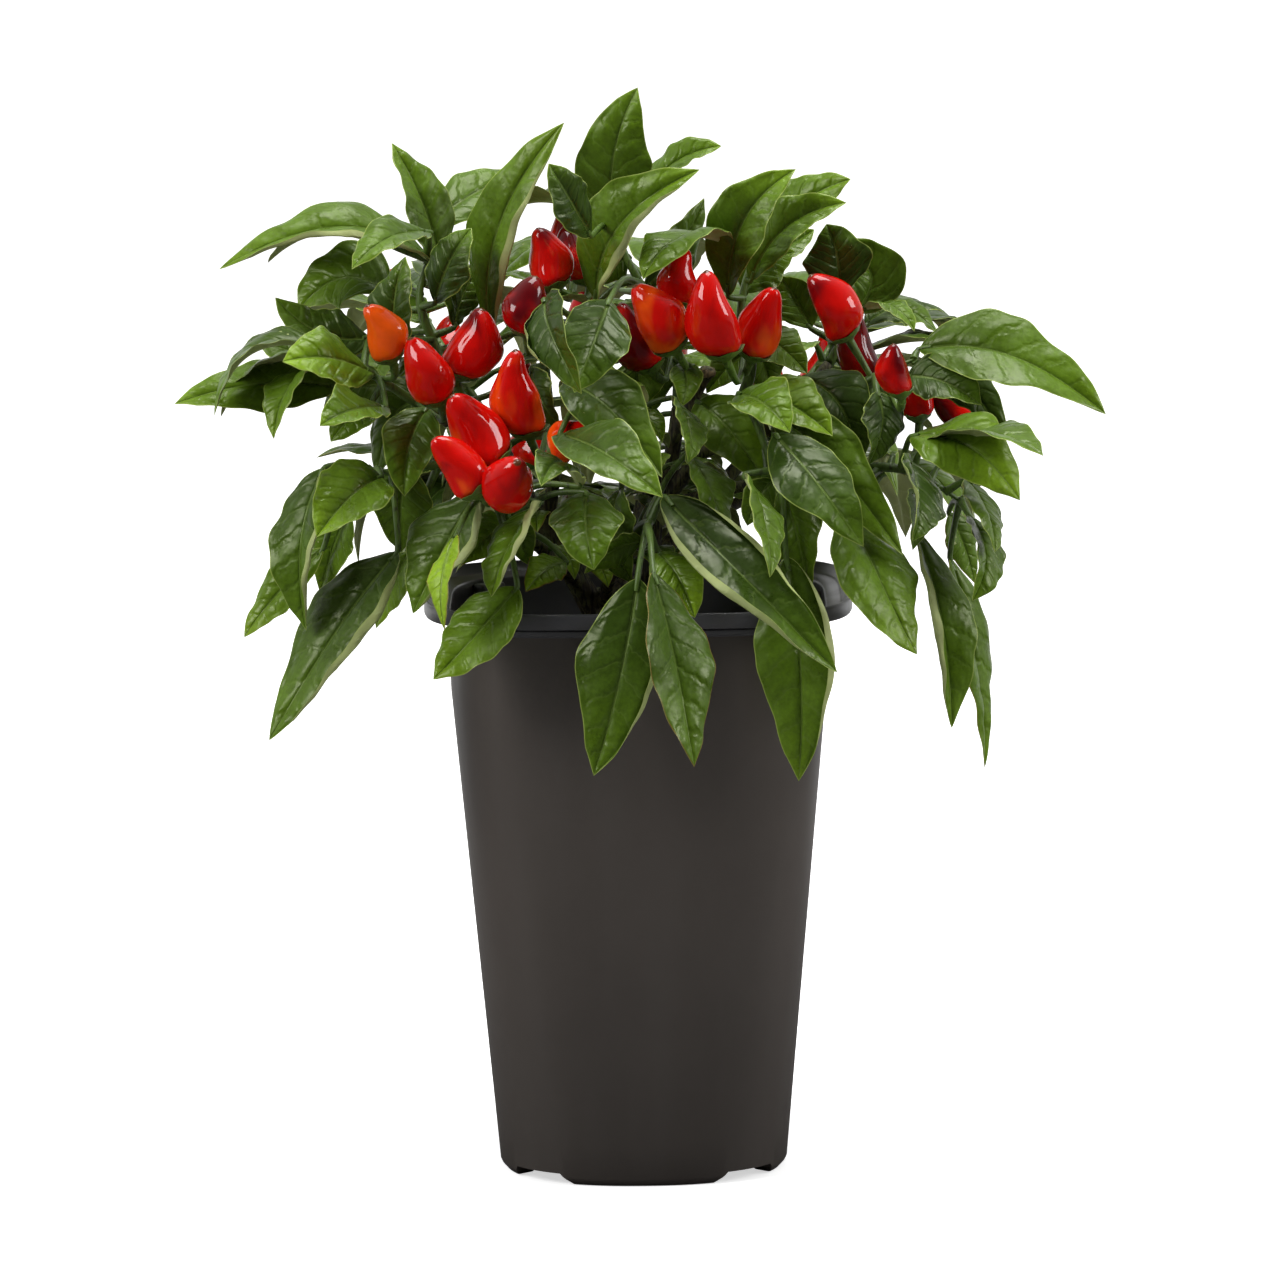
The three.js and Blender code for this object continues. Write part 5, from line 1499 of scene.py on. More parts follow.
def quilt(t, side, count, turns):
    """How far the blade puffs up between its veins, frills at its edge and buckles, in mm."""
    out = np.abs(side)
    middle_of_panel = np.abs(np.sin(math.pi * (count - 0.5)))
    change = np.sin(7 * t + 4 * side + turns[3]) * np.sin(13 * t - 3 * side + turns[2])
    panel = np.sqrt(middle_of_panel) * (4 * out * (1 - out)) ** PANEL_FULLNESS
    panel = panel * (1 + QUILT_CHANGE * change)
    frill = np.sin(31 * t + turns[1] + 1.7 * (side > 0)) * out**4
    frill = frill + 0.6 * np.sin(13 * t + turns[2]) * out**2
    buckle = np.sin(9 * t + 3 * side + turns[3]) * out
    return QUILT_DEPTH * (panel - 0.5) + FRILL_DEPTH * (frill + buckle)


def two_faces(surface, normal, t, side, half, size):
    """The upper and the under face: a groove above the midrib, a ridge below it, a thin edge."""
    upward = np.cross(np.gradient(surface, axis=1), np.gradient(surface, axis=0))
    length = np.linalg.norm(upward, axis=-1, keepdims=True)
    upward = np.where(length > NO_LENGTH, upward / np.maximum(length, NO_LENGTH), normal)
    on_rib = np.exp(-((side * half / RIB_HALF) ** 2))
    thin = 0.5 * BLADE_THICK * (1 - EDGE_THINNING * np.abs(side) ** 4)
    rib = RIB_THICK * on_rib * (1 - RIB_TAPER * t) * np.minimum(half / RIB_FULL_FROM, 1)
    over = surface + upward * (thin - GROOVE * on_rib * size)[..., None]
    below = surface - upward * (thin + GROOVE * on_rib * size + rib)[..., None]
    return over, below


# %% One fine blade
VEIN_BEND = 1.15
FULL_SIZE_HALF = 9  # mm of half width, below which quilt and groove are shallower
RED_EDGE = (-0.6, 0.9)
RED_EDGES_BELOW = 270


def fine_blade(leaf, draw):
    """Points, faces, finishes and attributes of one closed, quilted blade."""
    rows, half_columns = GRIDS[leaf["grid"]]
    columns = np.r_[-np.array(half_columns[:0:-1]), half_columns]
    middle = len(half_columns) - 1
    t, side = np.meshgrid(np.linspace(0, 1, rows), columns, indexing="ij")
    out = np.abs(side)
    length = np.linalg.norm(leaf["middle"] - leaf["root"]) + np.linalg.norm(leaf["tip"] - leaf["middle"])
    place, normal, across = blade_frame(leaf, t)

    turns = [2 * math.pi * draw() for _ in range(5)]
    half = uneven_half(leaf, t, side, length, turns)
    size = np.minimum(half / FULL_SIZE_HALF, 1)
    count = VEIN_PAIRS * (t - VEIN_SLANT * out**VEIN_BEND * half / length) + 0.5 * (side > 0)
    angles = edge_angles(leaf, across[rows // 2, 0], draw)
    lateral, lift = curled_section(leaf, t, side, half, angles)
    lift = lift + ripple_of(leaf, t, side) + size * quilt(t, side, count, turns)
    surface = place + across * lateral[..., None] + normal * lift[..., None]
    over, below = two_faces(surface, normal, t, side, half, size)
    ends = surface[[0, -1], middle]
    points = np.vstack([ends, over[1:-1].reshape(-1, 3), below[1:-1].reshape(-1, 3)])

    def twice(values):
        """The same values for the upper and the under points."""
        inner = values[1:-1].reshape(-1, 3)
        return np.vstack([values[[0, -1], middle], inner, inner])

    blade = np.stack([side, t, count], axis=-1)
    span = np.stack([side * half, t * length, (1 - out) * half], axis=-1)
    redness = max(0.0, between(*RED_EDGE, draw())) if leaf["root"][2] < RED_EDGES_BELOW else 0.0
    tone = np.tile([leaf["youth"], draw(), redness], (len(points), 1))
    marks = {"blade": twice(blade), "span": twice(span), "tone": tone}
    return points, grid_faces(rows, len(columns)), marks


# %% [markdown]
# ## Stems, stalks and cups
# A stem is a section swept along a line, so one Geometry Nodes tree makes them all. Its inputs are the
# number of sides, the ridges round the section and how deep they are. The line's radius at each point
# sets the size.

# %% Stem tree
def real_with_material(tree, geometry, material):
    """The end of both trees: instances made real, and the material set."""
    realized = add_node(tree, "GeometryNodeRealizeInstances", {"Geometry": geometry}).outputs[0]
    values = {"Geometry": realized, "Material": material}
    return add_node(tree, "GeometryNodeSetMaterial", values).outputs[0]


def ridged_section(tree, given):
    """A circle whose radius goes up and down with the angle, once for each ridge."""
    values = {"Resolution": given["Sides"], "Radius": 1.0}
    circle = add_node(tree, "GeometryNodeCurvePrimitiveCircle", values).outputs["Curve"]
    spot = add_node(tree, "GeometryNodeInputPosition").outputs["Position"]
    spot_parts = add_node(tree, "ShaderNodeSeparateXYZ", {0: spot}).outputs
    angle = reckon(tree, "ARCTAN2", spot_parts[1], spot_parts[0])
    ridge = reckon(tree, "COSINE", reckon(tree, "MULTIPLY", angle, given["Ridges"]))
    growth = reckon(tree, "MULTIPLY_ADD", ridge, given["Ridge Depth"], 1.0)
    values = {0: spot, "Scale": growth}
    ridged = add_node(tree, "ShaderNodeVectorMath", values, operation="SCALE").outputs[0]
    values = {"Geometry": circle, "Position": ridged}
    return add_node(tree, "GeometryNodeSetPosition", values).outputs[0]


def swept_stem():
    tree, given, put_out = new_group(
        "swept_stem",
        "GeometryNodeTree",
        {
            "Geometry": "Geometry", "Sides": "Int", "Ridges": "Float", "Ridge Depth": "Float",
            "Material": "Material",
        },
        {"Geometry": "Geometry"},
    )
    values = {"Curve": given["Geometry"], "Profile Curve": ridged_section(tree, given), "Fill Caps": True}
    sweep = add_node(tree, "GeometryNodeCurveToMesh", values)
    if "Scale" in sweep.inputs:
        feed(tree, sweep, {"Scale": add_node(tree, "GeometryNodeInputRadius").outputs["Radius"]})
    rounded = add_node(tree, "GeometryNodeSetShadeSmooth", {"Geometry": sweep.outputs[0]}).outputs[0]
    put_out(Geometry=real_with_material(tree, rounded, given["Material"]))
    return tree


stem_tree = swept_stem()
print("tree:", stem_tree.name)

# %% [markdown]
# A limb is known by only a few places. A smooth curve through them gives the many points that a sweep
# needs, and the radius changes evenly from place to place.

# %% Smooth lines and sweeps
def smooth_line(places, radii, step=2.0):
    """More points on a smooth curve through the places, with the radius changing evenly between them."""
    places = np.asarray(places, float)
    padded = np.vstack([2 * places[0] - places[1], places, 2 * places[-1] - places[-2]])
    line, sizes = [], []
    for k in range(len(places) - 1):
        a, b, c, d = padded[k : k + 4]
        count = max(2, int(np.linalg.norm(c - b) / step))
        for share in np.arange(count) / count:
            curve = 2 * b + (c - a) * share + (2 * a - 5 * b + 4 * c - d) * share**2
            line.append(0.5 * (curve + (3 * b - a - 3 * c + d) * share**3))
            sizes.append(between(radii[k], radii[k + 1], share))
    line.append(places[-1])
    sizes.append(radii[-1])
    return np.array(line), np.array(sizes)


def swept(name, stems, sides, ridges, depth, material):
    """One plain mesh of stems, each given by its points and radii in millimetres."""
    curve = bpy.data.curves.new(name, "CURVE")
    curve.dimensions = "3D"
    for points, radii in stems:
        spline = curve.splines.new("POLY")
        spline.points.add(len(points) - 1)
        spline.points.foreach_set("co", np.c_[points * MM, np.ones(len(points))].ravel())
        spline.points.foreach_set("radius", radii * MM)
    holder = new_object(name + "_lines", curve)
    section = {"Sides": sides, "Ridges": float(ridges), "Ridge_Depth": depth}
    return through_tree(holder, name, stem_tree, **section, Material=material)


# %% Leaf stalks
LEAF_STALK_RADII = (1.75, 1.2, 1.1, 0.9)
UNDER_BLADE = 0.07  # share of the blade that its stalk runs on under


def leaf_stalk(leaf, line):
    """A stalk with a swollen foot, which goes on a little way under the blade."""
    places = stalk_places(leaf, line)
    onward = midrib(leaf, UNDER_BLADE)[0]
    radii = LEAF_STALK_RADII if len(places) == 3 else (LEAF_STALK_RADII[0], *LEAF_STALK_RADII[2:])
    return smooth_line(np.vstack([places, onward]), np.array(radii))


# %% Green cups
CUP_SIDES = 20
CUP_TEETH = 5
CUP_RINGS = (  # height in mm, share of the fruit's radius, and how far the teeth reach out
    (-5.5, 0.13, 0), (-3.0, 0.19, 0), (-1.6, 0.42, 0.02), (-0.2, 0.66, 0.06), (0.9, 0.74, 0.12),
    (1.0, 0.70, 0.12), (-0.1, 0.55, 0.02),
)
TOOTHED_FROM = 0.1
TOOTH_HEIGHT = 1.1


def add_cup(skin, fruit):
    """The green cup under a fruit: it opens from the stalk and ends in small blunt teeth."""
    base, along, radius = fruit["base"], fruit["along"], fruit["radius"]
    first, second = axes_across(along)
    theta = np.arange(CUP_SIDES) * 2 * math.pi / CUP_SIDES
    tooth = 0.5 + 0.5 * np.cos(CUP_TEETH * theta)
    rows = []
    for height, share, teeth in CUP_RINGS:
        reach = radius * (share + teeth * tooth)
        rise = height + (TOOTH_HEIGHT * tooth if teeth > TOOTHED_FROM else 0)
        ring = base + np.outer(reach * np.cos(theta), first) + np.outer(reach * np.sin(theta), second)
        rows.append(ring + along * np.broadcast_to(rise, (CUP_SIDES,))[:, None])
    skin.add(np.vstack(rows), ring_faces(len(rows), CUP_SIDES), 2)


# %% Leafy stems
LOOK_SEED = 23
LEAF_CREASE = 50  # degrees, past which an edge stays sharp
BUD_SHARE = 0.55
FRUIT_STALK_THICKER = (0, 0.2, 0.3)
LEAF_FINISHES = [FINISHES["leaf_upper"], FINISHES["leaf_under"], FINISHES["green_stem"]]


def joined(pieces, name):
    """Several mesh objects made one."""
    with bpy.context.temp_override(active_object=pieces[0], selected_editable_objects=pieces):
        bpy.ops.object.join()
    pieces[0].name = name
    return pieces[0]


def add_leaf(skin, stems, leaf, line, draw):
    """A blade for the skin, and its stalk for the stems."""
    points, (faces, finishes), marks = fine_blade(leaf, draw)
    skin.add(points, faces, finishes, **marks)
    stems.append(leaf_stalk(leaf, line))


def main_stem(line):
    """The stem itself starts inside its limb and ends in a bud."""
    start = line["places"][0] - line["direction"]
    radii = np.r_[line["radii"][0], line["radii"][:-1], line["radii"][-1] * BUD_SHARE]
    return smooth_line(np.vstack([start, line["places"]]), radii)


look_draw = draws_from(LOOK_SEED)
for name, leaves in grown.items():
    skin = Skin()
    stems = [main_stem(lines[name])]
    for leaf in leaves:
        add_leaf(skin, stems, leaf, lines[name], look_draw)
    for fruit in fruits:
        if fruit["shoot"] == name:
            add_cup(skin, fruit)
            places, radii = fruit["stalk"]
            stems.append(smooth_line(places[:3], radii[:3] + FRUIT_STALK_THICKER))
    blades = skin.mesh_object("blades", LEAF_FINISHES, crease=LEAF_CREASE)
    stalks = swept("stalks", stems, 10, 5, 0.07, FINISHES["green_stem"])
    finish_piece(joined([blades, stalks], "leafy_stem_" + name), "leaf", "shoot_" + name)
print("leafy stems:", len(grown))

# %% Young leaves on the woody stems
inner_skin = Skin()
inner_stalks = []
for leaf, line in inner_leaves:
    add_leaf(inner_skin, inner_stalks, leaf, line, look_draw)
inner_blades = inner_skin.mesh_object("inner_blades", LEAF_FINISHES, crease=LEAF_CREASE)
inner_stems = swept("inner_stalks", inner_stalks, 8, 4, 0.07, FINISHES["green_stem"])
finish_piece(joined([inner_blades, inner_stems], "inner_leaves"), "leaf")
print("leaves on woody stems:", len(inner_leaves))

# %% [markdown]
# ## Woody stems
# On the plant the limbs grow out of each other without a seam. Swept tubes alone would only poke into
# each other, so they are remade as one skin on a fine grid and smoothed, which fills each fork softly.

# %% Woody stems
VOXEL = 0.0007  # metres
EASE_SHARE = 0.5
EASE_ROUNDS = 2
woody = [smooth_line(places_of(row), radii_of(row)) for row in [*LIMBS.values(), *STUBS]]
rough = swept("rough_stems", woody, 28, 9, 0.10, FINISHES["bark"])
remesh = rough.modifiers.new("one_skin", "REMESH")
remesh.mode = "VOXEL"
remesh.voxel_size = VOXEL
remesh.use_smooth_shade = True
ease = rough.modifiers.new("soft_forks", "SMOOTH")
ease.factor = EASE_SHARE
ease.iterations = EASE_ROUNDS
stems = plain_mesh(rough, "woody_stems")
stems.data.materials.clear()
stems.data.materials.append(FINISHES["bark"])
finish_piece(stems, "bark", "stems")
print("woody stems:", len(stems.data.polygons), "faces")

# %% Scars on the pruned ends
SCAR_SEED = 5
SCAR_SIDES = 14
SCAR_RINGS = 8
SCAR_END = 1.25  # radians up and down to the end rings
SCAR_SHARE = 1.05
SCAR_FLATNESS = 0.7
SCAR_KNOBS = 0.28

scars = Skin()
scar_draw = draws_from(SCAR_SEED)
scar_turns = np.arange(SCAR_SIDES) * 2 * math.pi / SCAR_SIDES
theta, rise = np.meshgrid(scar_turns, np.linspace(-SCAR_END, SCAR_END, SCAR_RINGS), indexing="xy")
for row in STUBS:
    centre, radius = places_of(row)[-2], row[-2][3]
    drawn = np.array([scar_draw() for _ in range(theta.size)]).reshape(theta.shape)
    reach = SCAR_SHARE * radius * (1 + SCAR_KNOBS * (drawn - 0.5))
    level = reach * np.cos(rise)
    height = SCAR_FLATNESS * reach * np.sin(rise)
    points = np.stack([level * np.cos(theta), level * np.sin(theta), height], axis=-1)
    scars.add(centre + points.reshape(-1, 3), ring_faces(SCAR_RINGS, SCAR_SIDES))
finish_piece(scars.mesh_object("pruning_scars", [FINISHES["scar"]]), "bark")
print("scars:", len(STUBS))

# %% [markdown]
# ## Fruits
# A chilli is a lathe shape with a mind of its own. It has shoulders at the cup, a belly below the middle
# and a blunt nose with a dried speck. A slight bend, three soft lobes and a few shallow dents, all drawn
# from a seed, keep the fruits from looking turned.

# %% Fruits
PEPPER_SEED = 91
PEPPER_SIDES = 32
PEPPER_PROFILE = (  # share of the length, and width as a share of the radius
    (0.0, 0.34), (0.02, 0.58), (0.07, 0.80), (0.15, 0.95), (0.28, 1.0), (0.42, 0.99), (0.56, 0.91),
    (0.70, 0.77), (0.82, 0.60), (0.905, 0.43), (0.96, 0.27), (0.985, 0.14), (1.0, 0.07),
)
PROFILE_STEP = 0.022
PEPPER_WIDTH = 0.97
DENTS = 0.06
LOBES = 0.06
BEND = 0.36
NOSE_SLIM = (-0.05, 0.16)
NOSE_AT = 0.74
NOSE_SPREAD = 0.17

pepper_draw = draws_from(PEPPER_SEED)
profile = np.array([(share, width, 0) for share, width in PEPPER_PROFILE])
profile_line, _ = smooth_line(profile, np.zeros(len(profile)), step=PROFILE_STEP)
rings = len(profile_line)
pepper_turns = np.arange(PEPPER_SIDES) * 2 * math.pi / PEPPER_SIDES
share, theta = np.meshgrid(profile_line[:, 0], pepper_turns, indexing="ij")
for fruit in fruits:
    radius = fruit["radius"]
    turns = [2 * math.pi * pepper_draw() for _ in range(5)]
    slim = between(*NOSE_SLIM, pepper_draw()) * np.exp(-(((share - NOSE_AT) / NOSE_SPREAD) ** 2))
    width = np.repeat(profile_line[:, 1:2], PEPPER_SIDES, axis=1) * (1 - slim)
    lobes = LOBES * np.cos(3 * theta + turns[0]) * (1 - share) + 0.5 * LOBES * np.cos(2 * theta + turns[1])
    dents = DENTS * np.sin(2 * theta + 7 * share + turns[2]) * np.sin(math.pi * share)
    reach = PEPPER_WIDTH * radius * width * (1 + lobes + dents)
    bend = BEND * radius * np.sin(math.pi * share)
    first, second = axes_across(fruit["along"])
    east = reach * np.cos(theta) + bend * math.cos(turns[3])
    north = reach * np.sin(theta) + bend * math.sin(turns[3])
    points = fruit["base"] + first * east[..., None] + second * north[..., None]
    points = points + fruit["along"] * (share * fruit["length"])[..., None]
    mark = np.tile([0, fruit["ripeness"], pepper_draw()], (rings * PEPPER_SIDES, 1))
    mark[:, 0] = share.ravel()
    skin = Skin()
    skin.add(points, ring_faces(rings, PEPPER_SIDES), skin=mark)
    piece = skin.mesh_object(fruit["name"].replace("fruit", "pepper"), [FINISHES["pepper"]])
    finish_piece(piece, "fruit", fruit["name"])
print("peppers:", len(fruits), "rings:", rings)

# %% [markdown]
# ## Pot
# The pot is round at its foot and squarer towards its rim. A curve with a power between a circle's and a
# square's gives that outline at each height, and the wall is lofted through many such rings, down the
# inside too, so that it is one closed body. The feet and drain slots are cut out at the end.

# %% Pot sizes
POT_SIDES = 144
CORNER_POWER_TOP = 4.2
CORNER_POWER_FOOT = 2.35
RECESS = 3.5
RECESS_HALF = 47
FLOOR_INSIDE = 5.7
WALL_FOOT = (57.5, 3.2)  # half width and height, as in both outlines below
WALL_TURN = (74.7, 195)
WALL_STEPS = 14
INSIDE_TURN = (72.8, 195)
INSIDE_FOOT = (54.5, FLOOR_INSIDE + 0.6)
INSIDE_STEPS = 8
RIM_UNDER = 226.7
RIM_FROM = 222.3


def straight_wall(start, end, steps):
    """The places between two places of an outline, evenly spaced."""
    return [
        (between(start[0], end[0], k / steps), between(start[1], end[1], k / steps))
        for k in range(1, steps)
    ]


POT_OUTSIDE = (
    (47.6, 0.15), (48.2, 0), (54.5, 0), (55.2, 0.2), (57.0, 2.2), WALL_FOOT,
    *straight_wall(WALL_FOOT, WALL_TURN, WALL_STEPS),
    WALL_TURN, (75.1, 208), (75.4, 220), (75.5, 222.4), (75.9, 222.8), (76.6, 223.1), (77.3, 223.7),
    (77.75, 224.5), (77.75, 225.1), (77.3, 225.7), (76.7, 226.0), (76.6, 226.4), (76.9, 226.65),
    (77.6, RIM_UNDER), (84.1, RIM_UNDER), (84.7, 226.9), (85.0, 227.4), (85.0, 231.8), (84.85, 232.4),
    (84.4, 232.85), (83.9, 233.0),
)
POT_INSIDE = (
    (83.5, 232.9), (83.2, 232.5), (82.9, 231.8), (81.1, 229.6), (80.5, 229.1), (79.8, 228.9),
    (75.2, 228.0), (74.6, 227.6), (74.3, 227.0), (73.7, 222), INSIDE_TURN,
    *straight_wall(INSIDE_TURN, INSIDE_FOOT, INSIDE_STEPS),
    INSIDE_FOOT, (53.9, FLOOR_INSIDE),
)
NOTCH = {"top": 12, "foot": 17, "middle": 57, "half_depth": 16, "height": 4.5}
DRAIN_SLOTS = 8
DRAIN_SLOT = {"length": 14, "width": 3.5, "middle": 30}
CUT_PAST = {"below": -1, "floor": 3}
LUG = {
    "half_high": 7, "half_low": 5.6, "depth": 5.5, "past_wall": 1.0, "top": 226.6, "foot": 211,
    "wall_half": 73.4, "wall_height": 220,
}
LUG_ROUNDING = 0.0014  # metres
POT_CREASE = 35  # degrees
print("places in the pot's outline:", len(POT_OUTSIDE) + len(POT_INSIDE))

# %% Rings and blocks


def square_ring(half, height, sides=POT_SIDES):
    power = between(CORNER_POWER_FOOT, CORNER_POWER_TOP, height / POT_HEIGHT)
    turn = 2 * math.pi * np.arange(sides) / sides
    c, s = np.cos(turn), np.sin(turn)
    reach = half / (np.abs(c) ** power + np.abs(s) ** power) ** (1 / power)
    return np.stack([reach * c, reach * s, np.full(sides, float(height))], axis=-1)


def turned_about_z(points, angle):
    c, s = math.cos(angle), math.sin(angle)
    return np.asarray(points) @ np.array([[c, s, 0], [-s, c, 0], [0, 0, 1]])


def corner_turns():
    """The angle of each of the pot's four corners."""
    return [math.pi / 4 + corner * math.pi / 2 for corner in range(4)]


BLOCK_FACES = [(0, 3, 2, 1), (4, 5, 6, 7), (0, 1, 5, 4), (1, 2, 6, 5), (2, 3, 7, 6), (3, 0, 4, 7)]


def block(x_low, x_high, half_low, half_high, z_low, z_high):
    """Corners of a block along X whose sides lean from one half width to another."""
    return [
        (x_low, -half_low, z_low), (x_high, -half_low, z_low),
        (x_high, half_low, z_low), (x_low, half_low, z_low),
        (x_low, -half_high, z_high), (x_high, -half_high, z_high),
        (x_high, half_high, z_high), (x_low, half_high, z_high),
    ]


# %% Pot wall, with feet and drain slots cut out
def pot_shell():
    """The wall outside, over the rim and down the inside, as one closed body."""
    under = [(RECESS_HALF - 0.4, RECESS), (RECESS_HALF + 0.1, RECESS - 0.3)]
    rows = [*under, *POT_OUTSIDE, *POT_INSIDE]
    inside_from = len(under) + len(POT_OUTSIDE)
    finishes = []
    for k, (low, high) in enumerate(zip(rows, rows[1:])):
        on_rim = k >= inside_from or min(low[1], high[1]) > RIM_FROM
        finishes += [int(on_rim)] * POT_SIDES
    skin = Skin()
    points = np.vstack([square_ring(half, height) for half, height in rows])
    skin.add(points, ring_faces(len(rows), POT_SIDES), finishes + [0, 1])
    return skin.mesh_object("pot_rough", [FINISHES["pot_wall"], FINISHES["pot_rim"]])


def pot_cutters():
    """Bars that cut the notches between the feet, and blocks that cut the drain slots."""
    skin = Skin()
    ends = [NOTCH["middle"] + way * NOTCH["half_depth"] for way in (-1, 1)]
    bar = block(*ends, NOTCH["foot"], NOTCH["top"], CUT_PAST["below"], NOTCH["height"])
    for turn in corner_turns():
        skin.add(turned_about_z(bar, turn), BLOCK_FACES)
    ends = [DRAIN_SLOT["middle"] + way * DRAIN_SLOT["length"] / 2 for way in (-1, 1)]
    half = DRAIN_SLOT["width"] / 2
    slot = block(*ends, half, half, CUT_PAST["below"], FLOOR_INSIDE + CUT_PAST["floor"])
    for k in range(DRAIN_SLOTS):
        skin.add(turned_about_z(slot, 2 * math.pi * (k + 0.5) / DRAIN_SLOTS), BLOCK_FACES)
    return skin.mesh_object("pot_cutter", [FINISHES["pot_wall"]])


pot_rough = pot_shell()
cutter = pot_cutters()
cut = pot_rough.modifiers.new("feet_and_slots", "BOOLEAN")
cut.object = cutter
cut.solver = "EXACT"
pot = plain_mesh(pot_rough, "nursery_pot")
bpy.data.objects.remove(cutter)
pot.data.set_sharp_from_angle(angle=math.radians(POT_CREASE))
print("pot wall:", len(pot.data.polygons), "faces")

# %% Stacking lugs
lugs = Skin()
lug_wall = float(np.hypot(*square_ring(LUG["wall_half"], LUG["wall_height"], 8)[1, :2]))
lug_ends = (lug_wall - LUG["depth"], lug_wall + LUG["past_wall"])
lug = block(*lug_ends, LUG["half_low"], LUG["half_high"], LUG["foot"], LUG["top"])
for turn in corner_turns():
    lugs.add(turned_about_z(lug, turn), BLOCK_FACES)
lug_rough = lugs.mesh_object("lugs_rough", [FINISHES["pot_rim"]])
soft = lug_rough.modifiers.new("soft_edges", "BEVEL")
soft.width = LUG_ROUNDING
soft.segments = 3
stacking_lugs = plain_mesh(lug_rough, "stacking_lugs")
finish_piece(joined([pot, stacking_lugs], "nursery_pot"), "pot", "pot")
print("pot:", len(pot.data.polygons), "faces")

# %% [markdown]
# ## Soil
# Peat is a heap of crumbs and fibres. A domed body fills the pot, and a Geometry Nodes tree scatters
# crumbs over its upper side: points are spread on the faces that look up, and a small lump is set on
# each, turned and sized by a seeded draw. The same tree, with a long thin lump, makes the fibres.

# %% Soil body
SOIL_TOP = 206
SOIL_SHOULDER = 203
SOIL_FOOT = 6
SOIL_DOME = 2.4
SOIL_SIDES = 96
SOIL_RINGS = 30
RING_SHARES = (0.985, 0.02)
SOIL_SEED = 41
SOIL_WAVES = 9
SOIL_WAVE_RATE = (0.04, 0.22)  # radians in a millimetre
SOIL_WAVE = 0.4
SOIL_LUMPS = 1.1
LUMPS_FADE = 8
INSIDE_HEIGHTS = (FLOOR_INSIDE, INSIDE_TURN[1], 222)
INSIDE_HALVES = (54.3, INSIDE_TURN[0], 73.6)

soil_draw = draws_from(SOIL_SEED)
soil_waves = [
    (between(*SOIL_WAVE_RATE, soil_draw()), 2 * math.pi * soil_draw(), math.pi * soil_draw())
    for _ in range(SOIL_WAVES)
]


def inside_half(height):
    return np.interp(height, INSIDE_HEIGHTS, INSIDE_HALVES) - GAP


def soil_height(x, y):
    height = np.zeros_like(x)
    for rate, phase, way in soil_waves:
        along = x * math.cos(way) + y * math.sin(way)
        height = height + np.sin(rate * along + phase) * SOIL_WAVE * SOIL_LUMPS
    return height


soil_rows = [
    square_ring(inside_half(height), height, SOIL_SIDES)
    for height in (SOIL_FOOT, INSIDE_TURN[1], SOIL_SHOULDER)
]
for share in np.linspace(*RING_SHARES, SOIL_RINGS):
    row = square_ring(inside_half(SOIL_TOP) * share, SOIL_TOP, SOIL_SIDES)
    lumps = soil_height(row[:, 0], row[:, 1]) * min(1, (1 - share) * LUMPS_FADE)
    row[:, 2] += SOIL_DOME * (1 - share**2) + lumps
    soil_rows.append(row)
soil_skin = Skin()
soil_skin.add(np.vstack(soil_rows), ring_faces(len(soil_rows), SOIL_SIDES))
soil = soil_skin.mesh_object("peat", [FINISHES["peat"]])
finish_piece(soil, "soil", "soil")
print("soil:", len(soil.data.polygons), "faces")

# %% Scatter tree
FACES_UP = 0.6
FULL_TURN = (6.28, 6.28, 6.28)


def drawn_vector(tree, low, high, seed):
    """A seeded draw between two vectors, another for each point."""
    values = {0: low, 1: high, "Seed": seed}
    return add_node(tree, "FunctionNodeRandomValue", values, data_type="FLOAT_VECTOR").outputs[0]


def scattered_crumbs():
    tree, given, put_out = new_group(
        "scattered_crumbs",
        "GeometryNodeTree",
        {
            "Geometry": "Geometry", "Density": "Float", "Seed": "Int", "Smallest": "Vector",
            "Largest": "Vector", "Material": "Material",
        },
        {"Geometry": "Geometry"},
    )
    normal = add_node(tree, "GeometryNodeInputNormal").outputs[0]
    upward = add_node(tree, "ShaderNodeSeparateXYZ", {0: normal}).outputs[2]
    compared = {"data_type": "FLOAT", "operation": "GREATER_THAN"}
    looks_up = add_node(tree, "FunctionNodeCompare", {0: upward, 1: FACES_UP}, **compared).outputs[0]
    values = {"Mesh": given["Geometry"], "Selection": looks_up}
    values |= {"Density": given["Density"], "Seed": given["Seed"]}
    spread = add_node(tree, "GeometryNodeDistributePointsOnFaces", values).outputs["Points"]
    lump = add_node(tree, "GeometryNodeMeshIcoSphere", {"Radius": 1.0, "Subdivisions": 1}).outputs[0]
    turn = drawn_vector(tree, (0.0, 0.0, 0.0), FULL_TURN, given["Seed"])
    next_seed = reckon(tree, "ADD", given["Seed"], 1.0)
    size = drawn_vector(tree, given["Smallest"], given["Largest"], next_seed)
    values = {"Points": spread, "Instance": lump, "Rotation": turn, "Scale": size}
    placed = add_node(tree, "GeometryNodeInstanceOnPoints", values).outputs[0]
    put_out(Geometry=real_with_material(tree, placed, given["Material"]))
    return tree


scatter_tree = scattered_crumbs()
print("tree:", scatter_tree.name)

# %% Crumbs and fibres
SCATTERED = {  # how many in a square metre, seed, and half the least and the greatest size in metres
    "peat_crumbs": (90000.0, 3, (0.0007, 0.0007, 0.0005), (0.0024, 0.0022, 0.0016)),
    "peat_fibres": (9000.0, 8, (0.0003, 0.0003, 0.003), (0.0006, 0.0006, 0.008)),
}

for name, (density, seed, smallest, largest) in SCATTERED.items():
    bed = new_object(name + "_bed", soil.data.copy())
    sizes = {"Smallest": smallest, "Largest": largest, "Material": FINISHES["peat"]}
    crumbs = through_tree(bed, name, scatter_tree, Density=density, Seed=seed, **sizes)
    finish_piece(crumbs, "soil")
    print(name + ":", len(crumbs.data.polygons), "faces")

